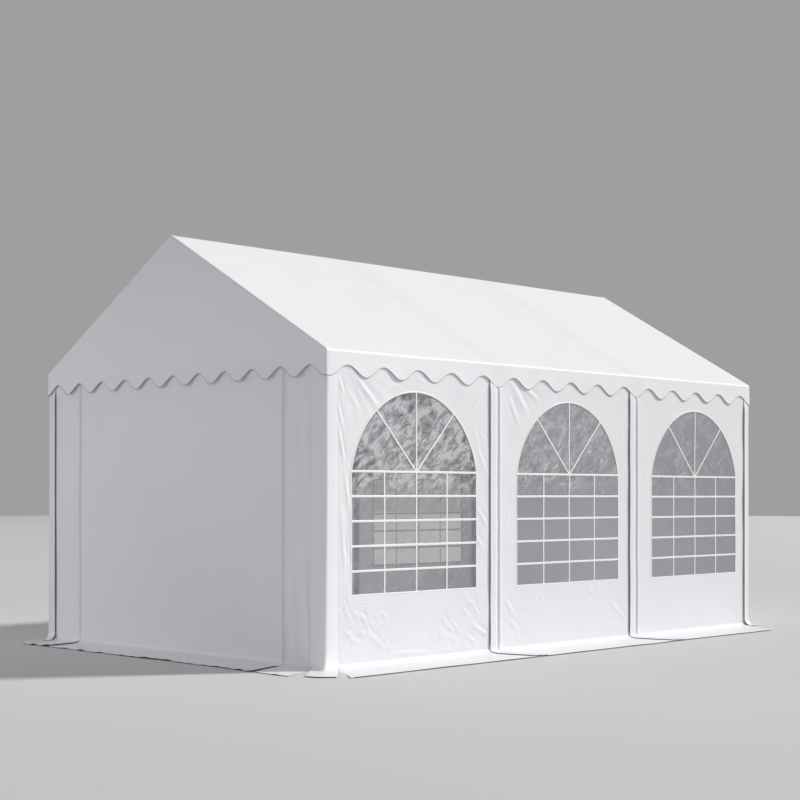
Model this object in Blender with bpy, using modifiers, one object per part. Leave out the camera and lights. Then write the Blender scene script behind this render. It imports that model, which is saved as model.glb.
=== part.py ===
"""Marquee tent: a gabled PVC cover with a wavy valance, on a frame of steel tubes.

Metres, +Z up. The origin is on the ground at the middle of the plan. X runs across the
tent and Y along it, with the front gable at -Y. Left and right are those of someone who
stands in front of the front gable and looks at it.
"""

from math import atan2, copysign, cos, pi, sin, tan

import bmesh
import bpy
from mathutils import Matrix, Vector

# Driving dimensions of the cover, over its outer faces
WIDTH = 3.07
LENGTH = 4.84
EAVE = 2.0
RIDGE = 2.874
BAYS = 3
CLOTH = 0.004
GAP = 0.0003

# The valance's lower edge is a wave that hangs lowest at the corners
VALANCE_MEAN = 0.125
VALANCE_WAVE = 0.038
SIDE_WAVES = 15
GABLE_WAVES = 11
STEPS_PER_WAVE = 8

# Walls hang inside the valance and turn out along the ground in a flap, which is wider on
# the long sides
WALL_TOP = 1.965
BEND = 0.08
FLAP_REACH = 0.30
SIDE_REACH = 0.38
BEND_STEPS = 4
DOOR_HALF = 1.127
POST_COVER = 0.063

# Arched windows, one to a bay and a little behind its middle, each closed by a clear film
# welded on the inside. The arch is a little slimmer at its shoulders than an ellipse.
WINDOW_HALF = 0.592
WINDOW_SHIFT = 0.008
WINDOW_SILL = 0.457
WINDOW_SPRING = 1.239
WINDOW_TOP = 1.756
ARCH_STEPS = 24
ARCH_POWER = 1.1
FILM = 0.002
FILM_LAP = 0.02

# How far each corner strip laps on to the gable and the long side, and how far its flap
# reaches out on the gable side, round the corner and on the long side
CORNER_STRIPS = {
    ("front", "right"): (0.135, 0.100, FLAP_REACH, 0.34, SIDE_REACH),
    ("front", "left"): (0.096, 0.090, FLAP_REACH, 0.10, 0.10),
    ("back", "right"): (0.100, 0.072, 0.10, 0.10, 0.10),
    ("back", "left"): (0.135, 0.100, FLAP_REACH, 0.34, SIDE_REACH),
}
TURN_STEPS = 6
TURN_INSIDE = 0.0005

# Steel tubes, the sleeves of the fittings that join them, and the posts' foot plates
TUBE_RADIUS = 0.019
SLEEVE_RADIUS = 0.0225
SLEEVE_LENGTH = 0.12
FOOT_SIDE = 0.11
FOOT_THICKNESS = 0.006
ROUND_SIDES = 20

# Worked out from the sizes above
HALF_W = WIDTH / 2
HALF_L = LENGTH / 2
PITCH = atan2(RIDGE - EAVE, HALF_W)
BAY = LENGTH / BAYS
WALL_OUTER = CLOTH + GAP
WALL_INNER = WALL_OUTER + CLOTH
TURN_RADIUS = WALL_INNER + TURN_INSIDE
FRAME_INSET = WALL_INNER + GAP + SLEEVE_RADIUS
POST_X = HALF_W - FRAME_INSET
POST_Y = HALF_L - FRAME_INSET
TUBE_DROP = (CLOTH + GAP + SLEEVE_RADIUS) / cos(PITCH)
RIDGE_AXIS = RIDGE - TUBE_DROP
EAVE_AXIS = RIDGE_AXIS - POST_X * tan(PITCH)
UP = Vector((0, 0, 1))

SIDES = {"left": -1, "right": 1}
ENDS = {"front": -1, "back": 1}


def clear_scene():
    for thing in list(bpy.data.objects):
        bpy.data.objects.remove(thing, do_unlink=True)


def new_collection(name):
    group = bpy.data.collections.new(name)
    bpy.context.scene.collection.children.link(group)
    return group


def new_material(name, colour, roughness, metallic=0.0, alpha=1.0):
    made = bpy.data.materials.new(name)
    made.use_nodes = True
    shader = made.node_tree.nodes["Principled BSDF"]
    shader.inputs["Base Color"].default_value = (*colour, 1.0)
    shader.inputs["Roughness"].default_value = roughness
    shader.inputs["Metallic"].default_value = metallic
    shader.inputs["Alpha"].default_value = alpha
    return made


def new_object(name, mesh, material=None, place=None):
    """A named part if it has a material, and otherwise a hidden helper for a Boolean."""
    made = bpy.data.objects.new(name, mesh)
    if place is not None:
        made.matrix_world = place
    if material is None:
        helpers.objects.link(made)
        made.hide_render = True
        made.display_type = "WIRE"
    else:
        part.objects.link(made)
        mesh.materials.append(material)
    return made


def combine(target, helper, operation):
    change = target.modifiers.new(helper.name, "BOOLEAN")
    change.operation = operation
    change.object = helper
    change.solver = "EXACT"


def aim(start, end):
    """A place at start whose local Z points to end."""
    turn = (end - start).to_track_quat("Z", "Y").to_matrix().to_4x4()
    return Matrix.Translation(start) @ turn


def rod(name, start, end, radius, material=None):
    length = (end - start).length
    shape = bmesh.new()
    bmesh.ops.create_cone(shape, cap_ends=True, segments=ROUND_SIDES, radius1=radius,
                          radius2=radius, depth=length,
                          matrix=Matrix.Translation((0, 0, length / 2)))
    mesh = bpy.data.meshes.new(name)
    shape.to_mesh(mesh)
    shape.free()
    mesh.shade_smooth()
    mesh.set_sharp_from_angle(angle=pi / 6)
    return new_object(name, mesh, material, aim(start, end))


def box(name, centre, size):
    shape = bmesh.new()
    bmesh.ops.create_cube(shape, size=1.0)
    bmesh.ops.scale(shape, vec=size, verts=shape.verts)
    mesh = bpy.data.meshes.new(name)
    shape.to_mesh(mesh)
    shape.free()
    return new_object(name, mesh, place=Matrix.Translation(centre))


def cut_sheet(name, outline, thickness, place, material=None):
    """A flat sheet cut to an outline in its local XY plane, half its thickness each way."""
    curve = bpy.data.curves.new(name, "CURVE")
    curve.dimensions = "2D"
    curve.fill_mode = "BOTH"
    curve.extrude = thickness / 2
    line = curve.splines.new("POLY")
    line.points.add(len(outline) - 1)
    for point, (x, y) in zip(line.points, outline):
        point.co = (x, y, 0, 1)
    line.use_cyclic_u = True
    drawn = bpy.data.objects.new(name + "_outline", curve)
    part.objects.link(drawn)
    drawn.matrix_world = place
    seen = drawn.evaluated_get(bpy.context.evaluated_depsgraph_get())
    mesh = bpy.data.meshes.new_from_object(seen)
    shape = bmesh.new()
    shape.from_mesh(mesh)
    bmesh.ops.remove_doubles(shape, verts=shape.verts, dist=0.00001)
    bmesh.ops.recalc_face_normals(shape, faces=shape.faces)
    shape.to_mesh(mesh)
    shape.free()
    bpy.data.objects.remove(drawn, do_unlink=True)
    return new_object(name, mesh, material, place)


def facing(axis, along, centre):
    """A place whose local X runs along, whose local Y is up and whose local Z is axis."""
    turn = Matrix((along, UP, axis)).transposed().to_4x4()
    return Matrix.Translation(centre) @ turn


def wave_edge(start, end, waves, drop_from):
    """Points of the valance's lower edge: a cosine that is lowest at both corners."""
    steps = waves * STEPS_PER_WAVE
    full = end - start
    points = []
    for i in range(steps + 1):
        share = i / steps
        depth = VALANCE_MEAN + VALANCE_WAVE * cos(2 * pi * waves * share)
        points.append((start + full * share, drop_from - depth))
    return points


def hung_profile(reach):
    """A wall's section as (outwards, up) pairs: straight down, round the bend and out."""
    base = -WALL_INNER
    points = [(base, WALL_TOP)]
    for i in range(BEND_STEPS + 1):
        turn = i / BEND_STEPS * pi / 2
        points.append((base + BEND - BEND * cos(turn), BEND - BEND * sin(turn)))
    points.append((base + reach, 0.0))
    return points


def hung_cloth(name, stations):
    """Cloth through stations of (point, outward, reach), thickened to its outer side."""
    shape = bmesh.new()
    columns = []
    for point, outward, reach in stations:
        column = [shape.verts.new(point + outward * out + UP * up)
                  for out, up in hung_profile(reach)]
        columns.append(column)
    for near, far in zip(columns, columns[1:]):
        for a, b, c, d in zip(near, far, far[1:], near[1:]):
            shape.faces.new((a, b, c, d))
    shape.normal_update()
    first = next(iter(shape.faces))
    if first.normal.dot(stations[0][1]) < 0:
        bmesh.ops.reverse_faces(shape, faces=shape.faces)
    mesh = bpy.data.meshes.new(name)
    shape.to_mesh(mesh)
    shape.free()
    made = new_object(name, mesh, wall_cloth)
    thick = made.modifiers.new("cloth", "SOLIDIFY")
    thick.thickness = CLOTH
    thick.offset = 1.0
    thick.use_even_offset = True
    return made


def straight_wall(name, corner, along, outward, start, end, reach):
    first = corner + along * start
    last = corner + along * end
    return hung_cloth(name, [(first, outward, reach), (last, outward, reach)])


def arch_outline(lap):
    """A window's outline about the middle of its springing line, widened by a lap."""
    half = WINDOW_HALF + lap
    rise = WINDOW_TOP - WINDOW_SPRING + lap
    sill = WINDOW_SILL - WINDOW_SPRING - lap
    points = [(-half, sill), (half, sill)]
    for i in range(ARCH_STEPS + 1):
        turn = pi * i / ARCH_STEPS
        across = copysign(abs(cos(turn)) ** ARCH_POWER, cos(turn))
        points.append((half * across, rise * abs(sin(turn)) ** ARCH_POWER))
    return points


def build_posts_and_rafters():
    for side, sign in SIDES.items():
        for number in range(BAYS + 1):
            y = -POST_Y + 2 * POST_Y * number / BAYS
            foot = Vector((sign * POST_X, y, FOOT_THICKNESS / 2))
            head = Vector((sign * POST_X, y, EAVE_AXIS - SLEEVE_LENGTH - GAP))
            post = rod(f"post_{side}_{number + 1}", foot, head, TUBE_RADIUS, steel)
            plate = box(f"foot_plate_{side}_{number + 1}", foot,
                        (FOOT_SIDE, FOOT_SIDE, FOOT_THICKNESS))
            combine(post, plate, "UNION")

            slope = Vector((-sign * cos(PITCH), 0, sin(PITCH)))
            eave = Vector((sign * POST_X, y, EAVE_AXIS))
            ridge = Vector((0, y, RIDGE_AXIS))
            reach = slope * (SLEEVE_LENGTH + GAP)
            rod(f"rafter_{side}_{number + 1}", eave + reach, ridge - reach,
                TUBE_RADIUS, steel)


def build_eave_rail(side, sign):
    """A long tube with the fittings that take the posts, rafters and gable ties."""
    end_y = POST_Y + SLEEVE_RADIUS
    rail = rod(f"eave_rail_{side}", Vector((sign * POST_X, -end_y, EAVE_AXIS)),
               Vector((sign * POST_X, end_y, EAVE_AXIS)), TUBE_RADIUS, steel)
    slope = Vector((-sign * cos(PITCH), 0, sin(PITCH)))
    inward = Vector((-sign, 0, 0))
    for number in range(BAYS + 1):
        y = -POST_Y + 2 * POST_Y * number / BAYS
        centre = Vector((sign * POST_X, y, EAVE_AXIS))
        ends = {"down": -UP, "up_slope": slope}
        if number in (0, BAYS):
            ends["across"] = inward
        for name, way in ends.items():
            sleeve = rod(f"sleeve_{side}_{number + 1}_{name}", centre,
                         centre + way * SLEEVE_LENGTH, SLEEVE_RADIUS)
            combine(rail, sleeve, "UNION")
        first = max(y - SLEEVE_LENGTH, -end_y)
        last = min(y + SLEEVE_LENGTH, end_y)
        sleeve = rod(f"sleeve_{side}_{number + 1}_along", Vector((centre.x, first, centre.z)),
                     Vector((centre.x, last, centre.z)), SLEEVE_RADIUS)
        combine(rail, sleeve, "UNION")


def build_ridge_rail():
    end_y = POST_Y + SLEEVE_RADIUS
    rail = rod("ridge_rail", Vector((0, -end_y, RIDGE_AXIS)), Vector((0, end_y, RIDGE_AXIS)),
               TUBE_RADIUS, steel)
    for number in range(BAYS + 1):
        y = -POST_Y + 2 * POST_Y * number / BAYS
        centre = Vector((0, y, RIDGE_AXIS))
        for side, sign in SIDES.items():
            down_slope = Vector((sign * cos(PITCH), 0, -sin(PITCH)))
            sleeve = rod(f"sleeve_ridge_{number + 1}_{side}", centre,
                         centre + down_slope * SLEEVE_LENGTH, SLEEVE_RADIUS)
            combine(rail, sleeve, "UNION")
        first = max(y - SLEEVE_LENGTH, -end_y)
        last = min(y + SLEEVE_LENGTH, end_y)
        sleeve = rod(f"sleeve_ridge_{number + 1}_along", Vector((0, first, RIDGE_AXIS)),
                     Vector((0, last, RIDGE_AXIS)), SLEEVE_RADIUS)
        combine(rail, sleeve, "UNION")


def build_gable_ties():
    reach = POST_X - SLEEVE_LENGTH - GAP
    for end, sign in ENDS.items():
        rod(f"gable_tie_{end}", Vector((-reach, sign * POST_Y, EAVE_AXIS)),
            Vector((reach, sign * POST_Y, EAVE_AXIS)), TUBE_RADIUS, steel)


def build_roof():
    """Two slopes, with the valances under their eaves and a gable sheet at each end."""
    drop = CLOTH / cos(PITCH)
    inner_l = HALF_L - CLOTH - GAP
    for side, sign in SIDES.items():
        outline = [(sign * HALF_W, EAVE), (sign * GAP / 2, RIDGE),
                   (sign * GAP / 2, RIDGE - drop), (sign * HALF_W, EAVE - drop)]
        cut_sheet(f"roof_slope_{side}", outline, 2 * inner_l,
                  facing(Vector((0, -1, 0)), Vector((1, 0, 0)), Vector()), roof_cloth)
        edge = wave_edge(-inner_l, inner_l, SIDE_WAVES, EAVE)
        top = EAVE - drop - GAP
        outline = [*edge, (inner_l, top), (-inner_l, top)]
        cut_sheet(f"valance_{side}", outline, CLOTH,
                  facing(Vector((1, 0, 0)), Vector((0, 1, 0)),
                         Vector((sign * (HALF_W - CLOTH / 2), 0, 0))), roof_cloth)
    for end, sign in ENDS.items():
        edge = wave_edge(-HALF_W, HALF_W, GABLE_WAVES, EAVE)
        outline = [*edge, (HALF_W, EAVE), (0, RIDGE), (-HALF_W, EAVE)]
        cut_sheet(f"gable_{end}", outline, CLOTH,
                  facing(Vector((0, -1, 0)), Vector((1, 0, 0)),
                         Vector((0, sign * (HALF_L - CLOTH / 2), 0))), roof_cloth)


def build_corner_strip(end, side):
    """Cloth that wraps the corner post, with its flap fanned round the corner."""
    lap_gable, lap_side, reach_gable, reach_turn, reach_side = CORNER_STRIPS[end, side]
    out_gable = Vector((0, ENDS[end], 0))
    out_side = Vector((SIDES[side], 0, 0))
    corner = out_gable * HALF_L + out_side * HALF_W
    centre = corner - (out_gable + out_side) * TURN_RADIUS
    stations = [(corner - out_side * lap_gable, out_gable, reach_gable)]
    for i in range(TURN_STEPS + 1):
        turn = pi / 2 * i / TURN_STEPS
        outward = out_gable * cos(turn) + out_side * sin(turn)
        reach = reach_gable if i == 0 else reach_side if i == TURN_STEPS else reach_turn
        stations.append((centre + outward * TURN_RADIUS, outward, reach))
    stations.append((corner - out_gable * lap_side, out_side, reach_side))
    hung_cloth(f"corner_strip_{end}_{side}", stations)


def build_gable_walls():
    """A zipped door between two narrow walls at each gable."""
    for end, sign in ENDS.items():
        outward = Vector((0, sign, 0))
        across = Vector((1, 0, 0))
        middle = outward * HALF_L
        left = -HALF_W + CORNER_STRIPS[end, "left"][0]
        right = HALF_W - CORNER_STRIPS[end, "right"][0]
        spans = {
            "wall_left": (left + GAP, -DOOR_HALF - GAP / 2),
            "door": (-DOOR_HALF + GAP / 2, DOOR_HALF - GAP / 2),
            "wall_right": (DOOR_HALF + GAP / 2, right - GAP),
        }
        for name, (start, stop) in spans.items():
            straight_wall(f"{end}_{name}", middle, across, outward, start, stop, FLAP_REACH)


def build_window_walls():
    """One panel to a bay with an arched opening, and its film behind the opening."""
    for side, sign in SIDES.items():
        outward = Vector((sign, 0, 0))
        along = Vector((0, 1, 0))
        corner = Vector((sign * HALF_W, -HALF_L, 0))
        seams = [CORNER_STRIPS["front", side][1], BAY - POST_COVER, 2 * BAY - POST_COVER,
                 LENGTH - CORNER_STRIPS["back", side][1]]
        for number in range(BAYS):
            wall = straight_wall(f"window_wall_{side}_{number + 1}", corner, along, outward,
                                 seams[number] + GAP / 2, seams[number + 1] - GAP / 2,
                                 SIDE_REACH)
            middle = (number + 0.5) * BAY + WINDOW_SHIFT
            window = corner + along * middle + UP * WINDOW_SPRING
            opening = cut_sheet(f"opening_{side}_{number + 1}", arch_outline(0), 10 * CLOTH,
                                facing(outward, along * sign, window))
            combine(wall, opening, "DIFFERENCE")
            behind = window - outward * (WALL_INNER + GAP + FILM / 2)
            cut_sheet(f"window_film_{side}_{number + 1}", arch_outline(FILM_LAP), FILM,
                      facing(outward, along * sign, behind), clear_film)


clear_scene()
part = new_collection("marquee_tent")
helpers = new_collection("helpers")
steel = new_material("zinc_coated_steel", (0.55, 0.56, 0.57), 0.42, metallic=1.0)
roof_cloth = new_material("white_pvc_roof", (0.88, 0.89, 0.91), 0.45)
wall_cloth = new_material("white_pvc_wall", (0.84, 0.85, 0.87), 0.45)
clear_film = new_material("clear_pvc_film", (0.55, 0.56, 0.57), 0.12, alpha=0.45)

build_posts_and_rafters()
for side_name, side_sign in SIDES.items():
    build_eave_rail(side_name, side_sign)
build_ridge_rail()
build_gable_ties()
build_roof()
for end_name, side_name in CORNER_STRIPS:
    build_corner_strip(end_name, side_name)
build_gable_walls()
build_window_walls()
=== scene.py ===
"""Marquee tent: the looks of its cover, walls, windows, zips and steel frame.

Laid out as an add-on and run as a script. Metres, +Z up, the front gable at -Y and the
long side that the camera sees at +X. Left and right are those of someone who stands in
front of the front gable.
"""

from functools import partial
from math import asin, atan2, cos, hypot, pi, radians, sin, sqrt
from typing import NamedTuple

import bpy
import numpy as np
from bpy.props import FloatProperty, FloatVectorProperty, IntProperty, PointerProperty
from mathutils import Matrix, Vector


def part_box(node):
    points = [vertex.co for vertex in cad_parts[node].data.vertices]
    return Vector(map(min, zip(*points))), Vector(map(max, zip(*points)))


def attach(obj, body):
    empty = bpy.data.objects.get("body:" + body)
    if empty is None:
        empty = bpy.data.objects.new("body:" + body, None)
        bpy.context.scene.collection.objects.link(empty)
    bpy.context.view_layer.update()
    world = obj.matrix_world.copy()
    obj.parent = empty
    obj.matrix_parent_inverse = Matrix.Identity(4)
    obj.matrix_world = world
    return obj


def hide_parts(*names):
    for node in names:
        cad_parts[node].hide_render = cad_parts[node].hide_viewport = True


bl_info = {
    "name": "Marquee tent",
    "version": (1, 0, 0),
    "blender": (4, 5, 0),
    "location": "3D View > Sidebar > Marquee",
    "description": "Builds a white gabled marquee tent around its packed solids",
    "category": "Add Mesh",
}

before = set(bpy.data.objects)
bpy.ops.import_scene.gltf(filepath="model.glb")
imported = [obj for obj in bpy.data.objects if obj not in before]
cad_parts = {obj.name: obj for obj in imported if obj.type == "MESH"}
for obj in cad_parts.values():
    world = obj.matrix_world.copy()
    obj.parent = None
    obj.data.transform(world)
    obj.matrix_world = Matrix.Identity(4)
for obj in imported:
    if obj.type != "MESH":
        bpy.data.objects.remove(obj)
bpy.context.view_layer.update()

# The cover's outer faces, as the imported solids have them
GABLE_LOW, GABLE_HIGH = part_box("gable_front")
HALF_W = GABLE_HIGH.x
HALF_L = -GABLE_LOW.y
RIDGE = GABLE_HIGH.z
EAVE = 2.0
PITCH = atan2(RIDGE - EAVE, HALF_W)
LENGTH = 2 * HALF_L
BAYS = 3
BAY = LENGTH / BAYS

# Steps along a wave of the side valance, up the valance and up a slope, rows up a gable
# wall, and rows down a corner strip, round its bend and out along its tongue
WAVE_STEPS = 12
VALANCE_ROWS = 10
SLOPE_STEPS = 60
GABLE_ROWS = 170
STRIP_ROWS = (96, 17, 15)

# Walls hang inside the valance and turn out along the ground in a flap
CLOTH = 0.001
WALL_TOP = 1.965
SETBACK = 0.0065
BEND_UP = 0.028
BEND_OUT = 0.062
BEND_LENGTH = pi / 2 * sqrt((BEND_UP ** 2 + BEND_OUT ** 2) / 2)
FLAP_START = BEND_UP - BEND_LENGTH
FLAP_REACH = 0.35
SIDE_REACH = 0.42
NEAR_REACH = 0.04
DOOR_HALF = 1.127

# A window wall's lap starts in front of its bay, covers the post with a ridge and stands
# proud, and its other end sinks and runs on under the next lap
POST_COVER = 0.063
COVER_GAP = 0.006
POST_RIDGE = 0.013
EDGE_PROUD = 0.012
EDGE_SUNK = 0.010
UNDERLAP = 0.035

# A corner strip stands proud of the walls and turns out along the ground in a tongue
STRIP_PROUD = 0.006
TONGUE_OUT = 0.085
CORNER_ROUND = 0.018
HEM = 0.024

# Arched windows, one to a bay and a little behind its middle. The arch is a part of an
# ellipse whose middle lies below the springing line, by a share of the rise, and the cross
# bars hang below that line. The windows further back hang a few millimetres lower, and
# their cloth and film are less worn.
WINDOW_HALF = 0.592
WINDOW_SHIFT = 0.008
WINDOW_SILL = 0.456
WINDOW_SPRING = 1.240
WINDOW_TOP = 1.763
WINDOW_RISE = WINDOW_TOP - WINDOW_SPRING
WINDOW_DROPS = (0.0, 0.0035, 0.0080)
CLOTH_WORN = (1.0, 0.6, 0.25)
FILM_WORN = (1.0, 0.45, 0.25)
FILM_LAP = 0.012
FILM_BEHIND = 0.0012
ARCH_SUNK = 0.209
CROSS_PITCH = 0.1585
DIAGONAL = radians(47)
BAR_STEP = 0.02

# A window's outline in steps: its sill, a jamb, the low part of the arch at each side and
# the high part between. LOW_ARCH is the low part's share, and RINGS lie round the window.
RING_STEPS = (118, 74, 32, 80)
LOW_ARCH = 0.22
RINGS = 78
FILM_STEPS = 141

# A bar's closed section: shares of its half width, and heights over the film. The first
# seven shares are a border's too, which has its own heights over the cloth.
STRIP_SHARE = np.array([-1.0, -0.94, -0.6, 0.0, 0.6, 0.94, 1.0, 0.5, -0.5])
STRIP_HEIGHT = np.array([0.0, 0.9, 1.15, 1.25, 1.15, 0.9, 0.0, -0.1, -0.1]) / 1000
BORDER_HEIGHT = np.array([-1.2, 0.9, 1.5, 1.7, 1.5, 0.9, 0.0]) / 1000

# A zip: half the width of its tape and of its coil, its section across and up, how high
# its teeth are at each point of that, and its rows
TAPE, COIL = 0.015, 0.0035
ZIP_ACROSS = np.array([-TAPE, -TAPE * 0.97, -0.006, -COIL, -COIL * 0.7, 0.0, COIL * 0.7, COIL,
                       0.006, TAPE * 0.97, TAPE])
ZIP_HEIGHT = np.array([0.0, 0.4, 0.5, 0.6, 1.5, 1.8, 1.5, 0.6, 0.5, 0.4, 0.0]) / 1000
ZIP_TEETH = np.array([0, 0, 0, 0.2, 1.0, 1.0, 1.0, 0.2, 0, 0, 0]) * 0.0007
ZIP_ROWS = 1260
ZIP_LOW, ZIP_HIGH = 0.03, 1.94
ZIP_PITCH = 0.005

# The camera, as the photograph's perspective gives it
CAMERA_PLACE = (8.802, -9.212, 1.0994)
CAMERA_TURN = radians(44.3044)
CAMERA_LENS = 72.098
CAMERA_SHIFT = 0.11703

# A wall's base point in plan, the way along it and the way out of it
WALLS = {
    "front": ((0.0, -HALF_L), (1, 0), (0, -1)),
    "back": ((0.0, HALF_L), (1, 0), (0, 1)),
    "right": ((HALF_W, -HALF_L), (0, 1), (1, 0)),
    "left": ((-HALF_W, -HALF_L), (0, 1), (-1, 0)),
}


class Corner(NamedTuple):
    """A corner strip: its lap on the gable and on the long side, how far those two edges
    stand proud, where the two corners of its tongue lie, out of the gable and out of the
    long side from the cover's corner, how high up it starts to turn out, and how far it
    is pushed out at the top and at the foot."""

    lap_gable: float
    lap_side: float
    proud_gable: float
    proud_side: float
    tip_gable: tuple
    tip_side: tuple
    turn_up: float
    push_top: float
    push_foot: float


CORNERS = {
    ("front", "right"): Corner(0.135, 0.100, 0.009, 0.004, (0.327, 0.162), (0.216, 0.3275),
                               0.15, 0.010, 0.024),
    ("front", "left"): Corner(0.087, 0.090, 0.012, 0.004, (0.285, -0.125), (0.225, -0.050),
                              0.06, 0.000, 0.006),
    ("back", "right"): Corner(0.100, 0.075, 0.004, 0.012, (0.100, 0.030), (-0.060, 0.100),
                              0.06, 0.0, 0.0),
    ("back", "left"): Corner(0.135, 0.100, 0.012, 0.004, (0.245, 0.072), (0.138, 0.258),
                             0.12, 0.004, 0.015),
}

# Folds and creases that show in the photograph on the first two walls of the right-hand
# side: the middle, as the distance along the side and the height, then the turn in
# degrees, half the length, the width and the height of the fold
SEEN_CREASES = (
    (0.125, 1.790, -66.5, 0.09, 0.011, 0.0036), (0.112, 1.610, -70, 0.13, 0.011, 0.0036),
    (0.127, 1.420, -76.6, 0.18, 0.011, 0.0036), (0.180, 1.120, -80, 0.16, 0.012, 0.0022),
    (0.150, 0.760, -86, 0.20, 0.012, 0.0022), (0.330, 1.765, -42.6, 0.22, 0.016, 0.0034),
    (0.270, 1.860, -36, 0.16, 0.014, 0.0024), (0.230, 1.700, -52, 0.12, 0.013, 0.0020),
    (1.420, 1.740, -128, 0.16, 0.014, 0.0022), (1.460, 1.330, -60, 0.14, 0.014, 0.0020),
    (1.470, 0.930, -52, 0.12, 0.013, 0.0024), (1.440, 0.760, -48, 0.10, 0.012, 0.0022),
    (0.321, 0.310, -42, 0.07, 0.012, 0.0032), (0.262, 0.330, -47, 0.05, 0.011, 0.0026),
    (0.198, 0.210, -12, 0.06, 0.012, 0.0030), (0.255, 0.165, -18, 0.07, 0.012, 0.0028),
    (0.210, 0.120, 28, 0.06, 0.011, 0.0024), (0.410, 0.180, -30, 0.07, 0.013, 0.0026),
    (0.480, 0.130, -38, 0.06, 0.012, 0.0028), (0.560, 0.100, 20, 0.07, 0.012, 0.0022),
    (1.088, 0.244, -50, 0.05, 0.011, 0.0026), (1.200, 0.200, -34, 0.07, 0.013, 0.0026),
    (1.300, 0.290, -42, 0.06, 0.011, 0.0024), (1.431, 0.170, -28, 0.10, 0.014, 0.0036),
    (1.410, 0.291, -45, 0.05, 0.011, 0.0030), (1.350, 0.110, -30, 0.08, 0.012, 0.0028),
    (0.855, 0.048, -4, 0.26, 0.011, 0.0030), (0.700, 0.062, 6, 0.14, 0.010, 0.0022),
    (1.060, 0.056, -8, 0.16, 0.011, 0.0022), (1.857, 1.778, -49.8, 0.19, 0.018, 0.0044),
    (1.985, 1.810, -33, 0.15, 0.016, 0.0036), (1.800, 1.680, -62, 0.14, 0.014, 0.0026),
    (1.760, 0.300, -50, 0.09, 0.014, 0.0024), (1.800, 0.180, -38, 0.08, 0.013, 0.0024),
    (2.980, 0.240, -40, 0.10, 0.014, 0.0022),
)

# Pale stripes that show on the films of the second and third windows of that side,
# painted reflections of the sky: as above, with a strength in place of the height
SEEN_STREAKS = (
    (2.202, 1.604, -21, 0.126, 0.022, 0.55), (2.139, 1.367, -43, 0.159, 0.030, 0.42),
    (1.999, 1.487, 46, 0.082, 0.014, 0.40), (2.252, 1.702, 9, 0.067, 0.020, 0.30),
    (2.634, 1.646, 13, 0.064, 0.022, 0.38), (3.710, 1.431, 14, 0.250, 0.022, 0.36),
    (3.580, 1.303, 9, 0.156, 0.030, 0.16), (1.982, 1.334, 50, 0.059, 0.012, 0.35),
)


def linear(hex_colour):
    """An sRGB hex colour as linear red, green and blue."""
    parts = [int(hex_colour[i:i + 2], 16) / 255 for i in (1, 3, 5)]
    return tuple(c / 12.92 if c <= 0.04045 else ((c + 0.055) / 1.055) ** 2.4 for c in parts)


def colour(name, description, hex_colour):
    return FloatVectorProperty(name=name, description=description, subtype="COLOR", size=3,
                               min=0.0, max=1.0, default=linear(hex_colour))


def length(name, description, default):
    return FloatProperty(name=name, description=description, unit="LENGTH", default=default,
                         precision=4)


def number(name, description, default):
    return IntProperty(name=name, description=description, default=default, min=1)


class MarqueeSizes(bpy.types.PropertyGroup):
    """Sizes of the cover, the walls and the windows."""

    valance_mean: length("Valance", "Mean depth of the valance below the eave", 0.129)
    valance_wave: length("Valance wave", "Height of the wave of its edge", 0.038)
    wave_start: length("Wave start", "How far behind the corner a side's wave starts", 0.018)
    side_waves: number("Side waves", "Waves along a long side", 15)
    gable_waves: number("Gable waves", "Waves across a gable", 11)
    side_flare: length("Side flare", "How far the valance hangs out at a side", 0.0042)
    gable_flare: length("Gable flare", "The same at a gable", 0.021)
    eave_round: length("Eave rounding", "Radius of the bend at the eave", 0.022)
    ridge_round: length("Ridge rounding", "Radius of the bend at the ridge", 0.016)
    rake_round: length("Gable rounding", "Radius of the bend at the gable", 0.007)
    peak_out: length("Peak", "How far the ridge rail pushes a gable's peak out", 0.026)
    sag: length("Roof sag", "Sag of the roof between two rafters", 0.009)
    fold: length("Folds", "Height of the folds from a window wall's corner", 0.0014)
    crease: length("Creases", "Height of the small creases of a wall", 0.0050)
    film_crease: length("Film creases", "Height of the creases of a film", 0.0030)
    bar: length("Bar", "Width of a window's upright bar", 0.0127)
    cross_bar: length("Cross bar", "Width of a window's cross bar", 0.0150)
    border: length("Border", "Width of the strip round a window", 0.0115)
    flap_lift: length("Flap lift", "How far a flap's outer edge lifts", 0.0042)
    hem_curl: length("Hem curl", "Height of the curls of a gable flap's hem", 0.0030)


class MarqueeColours(bpy.types.PropertyGroup):
    """Colours of the finishes."""

    roof: colour("Roof cloth", "White of the roof cover", "#F3F4F7")
    wall: colour("Wall cloth", "White of the walls", "#EFF0F3")
    strip: colour("Welded strip", "White of the bars and borders", "#F8F8FA")
    film: colour("Window film", "Grey of the clear film", "#B4B5B7")
    # The film's pale colour: its whitened creases, and the painted reflections of the sky on its
    # bends and facets
    haze_and_reflection: colour("Film haze", "Whitened creases of the film", "#D6D7D9")
    tape: colour("Zip tape", "White of the zip's tape", "#EDEDF0")
    coil: colour("Zip coil", "Grey of the zip's teeth", "#E0E1E4")
    steel: colour("Steel", "Zinc coat of the tubes", "#A9ACB0")
    floor: colour("Floor", "Pale floor of the stage", "#D0D1D2")


# Meshes and objects

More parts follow.
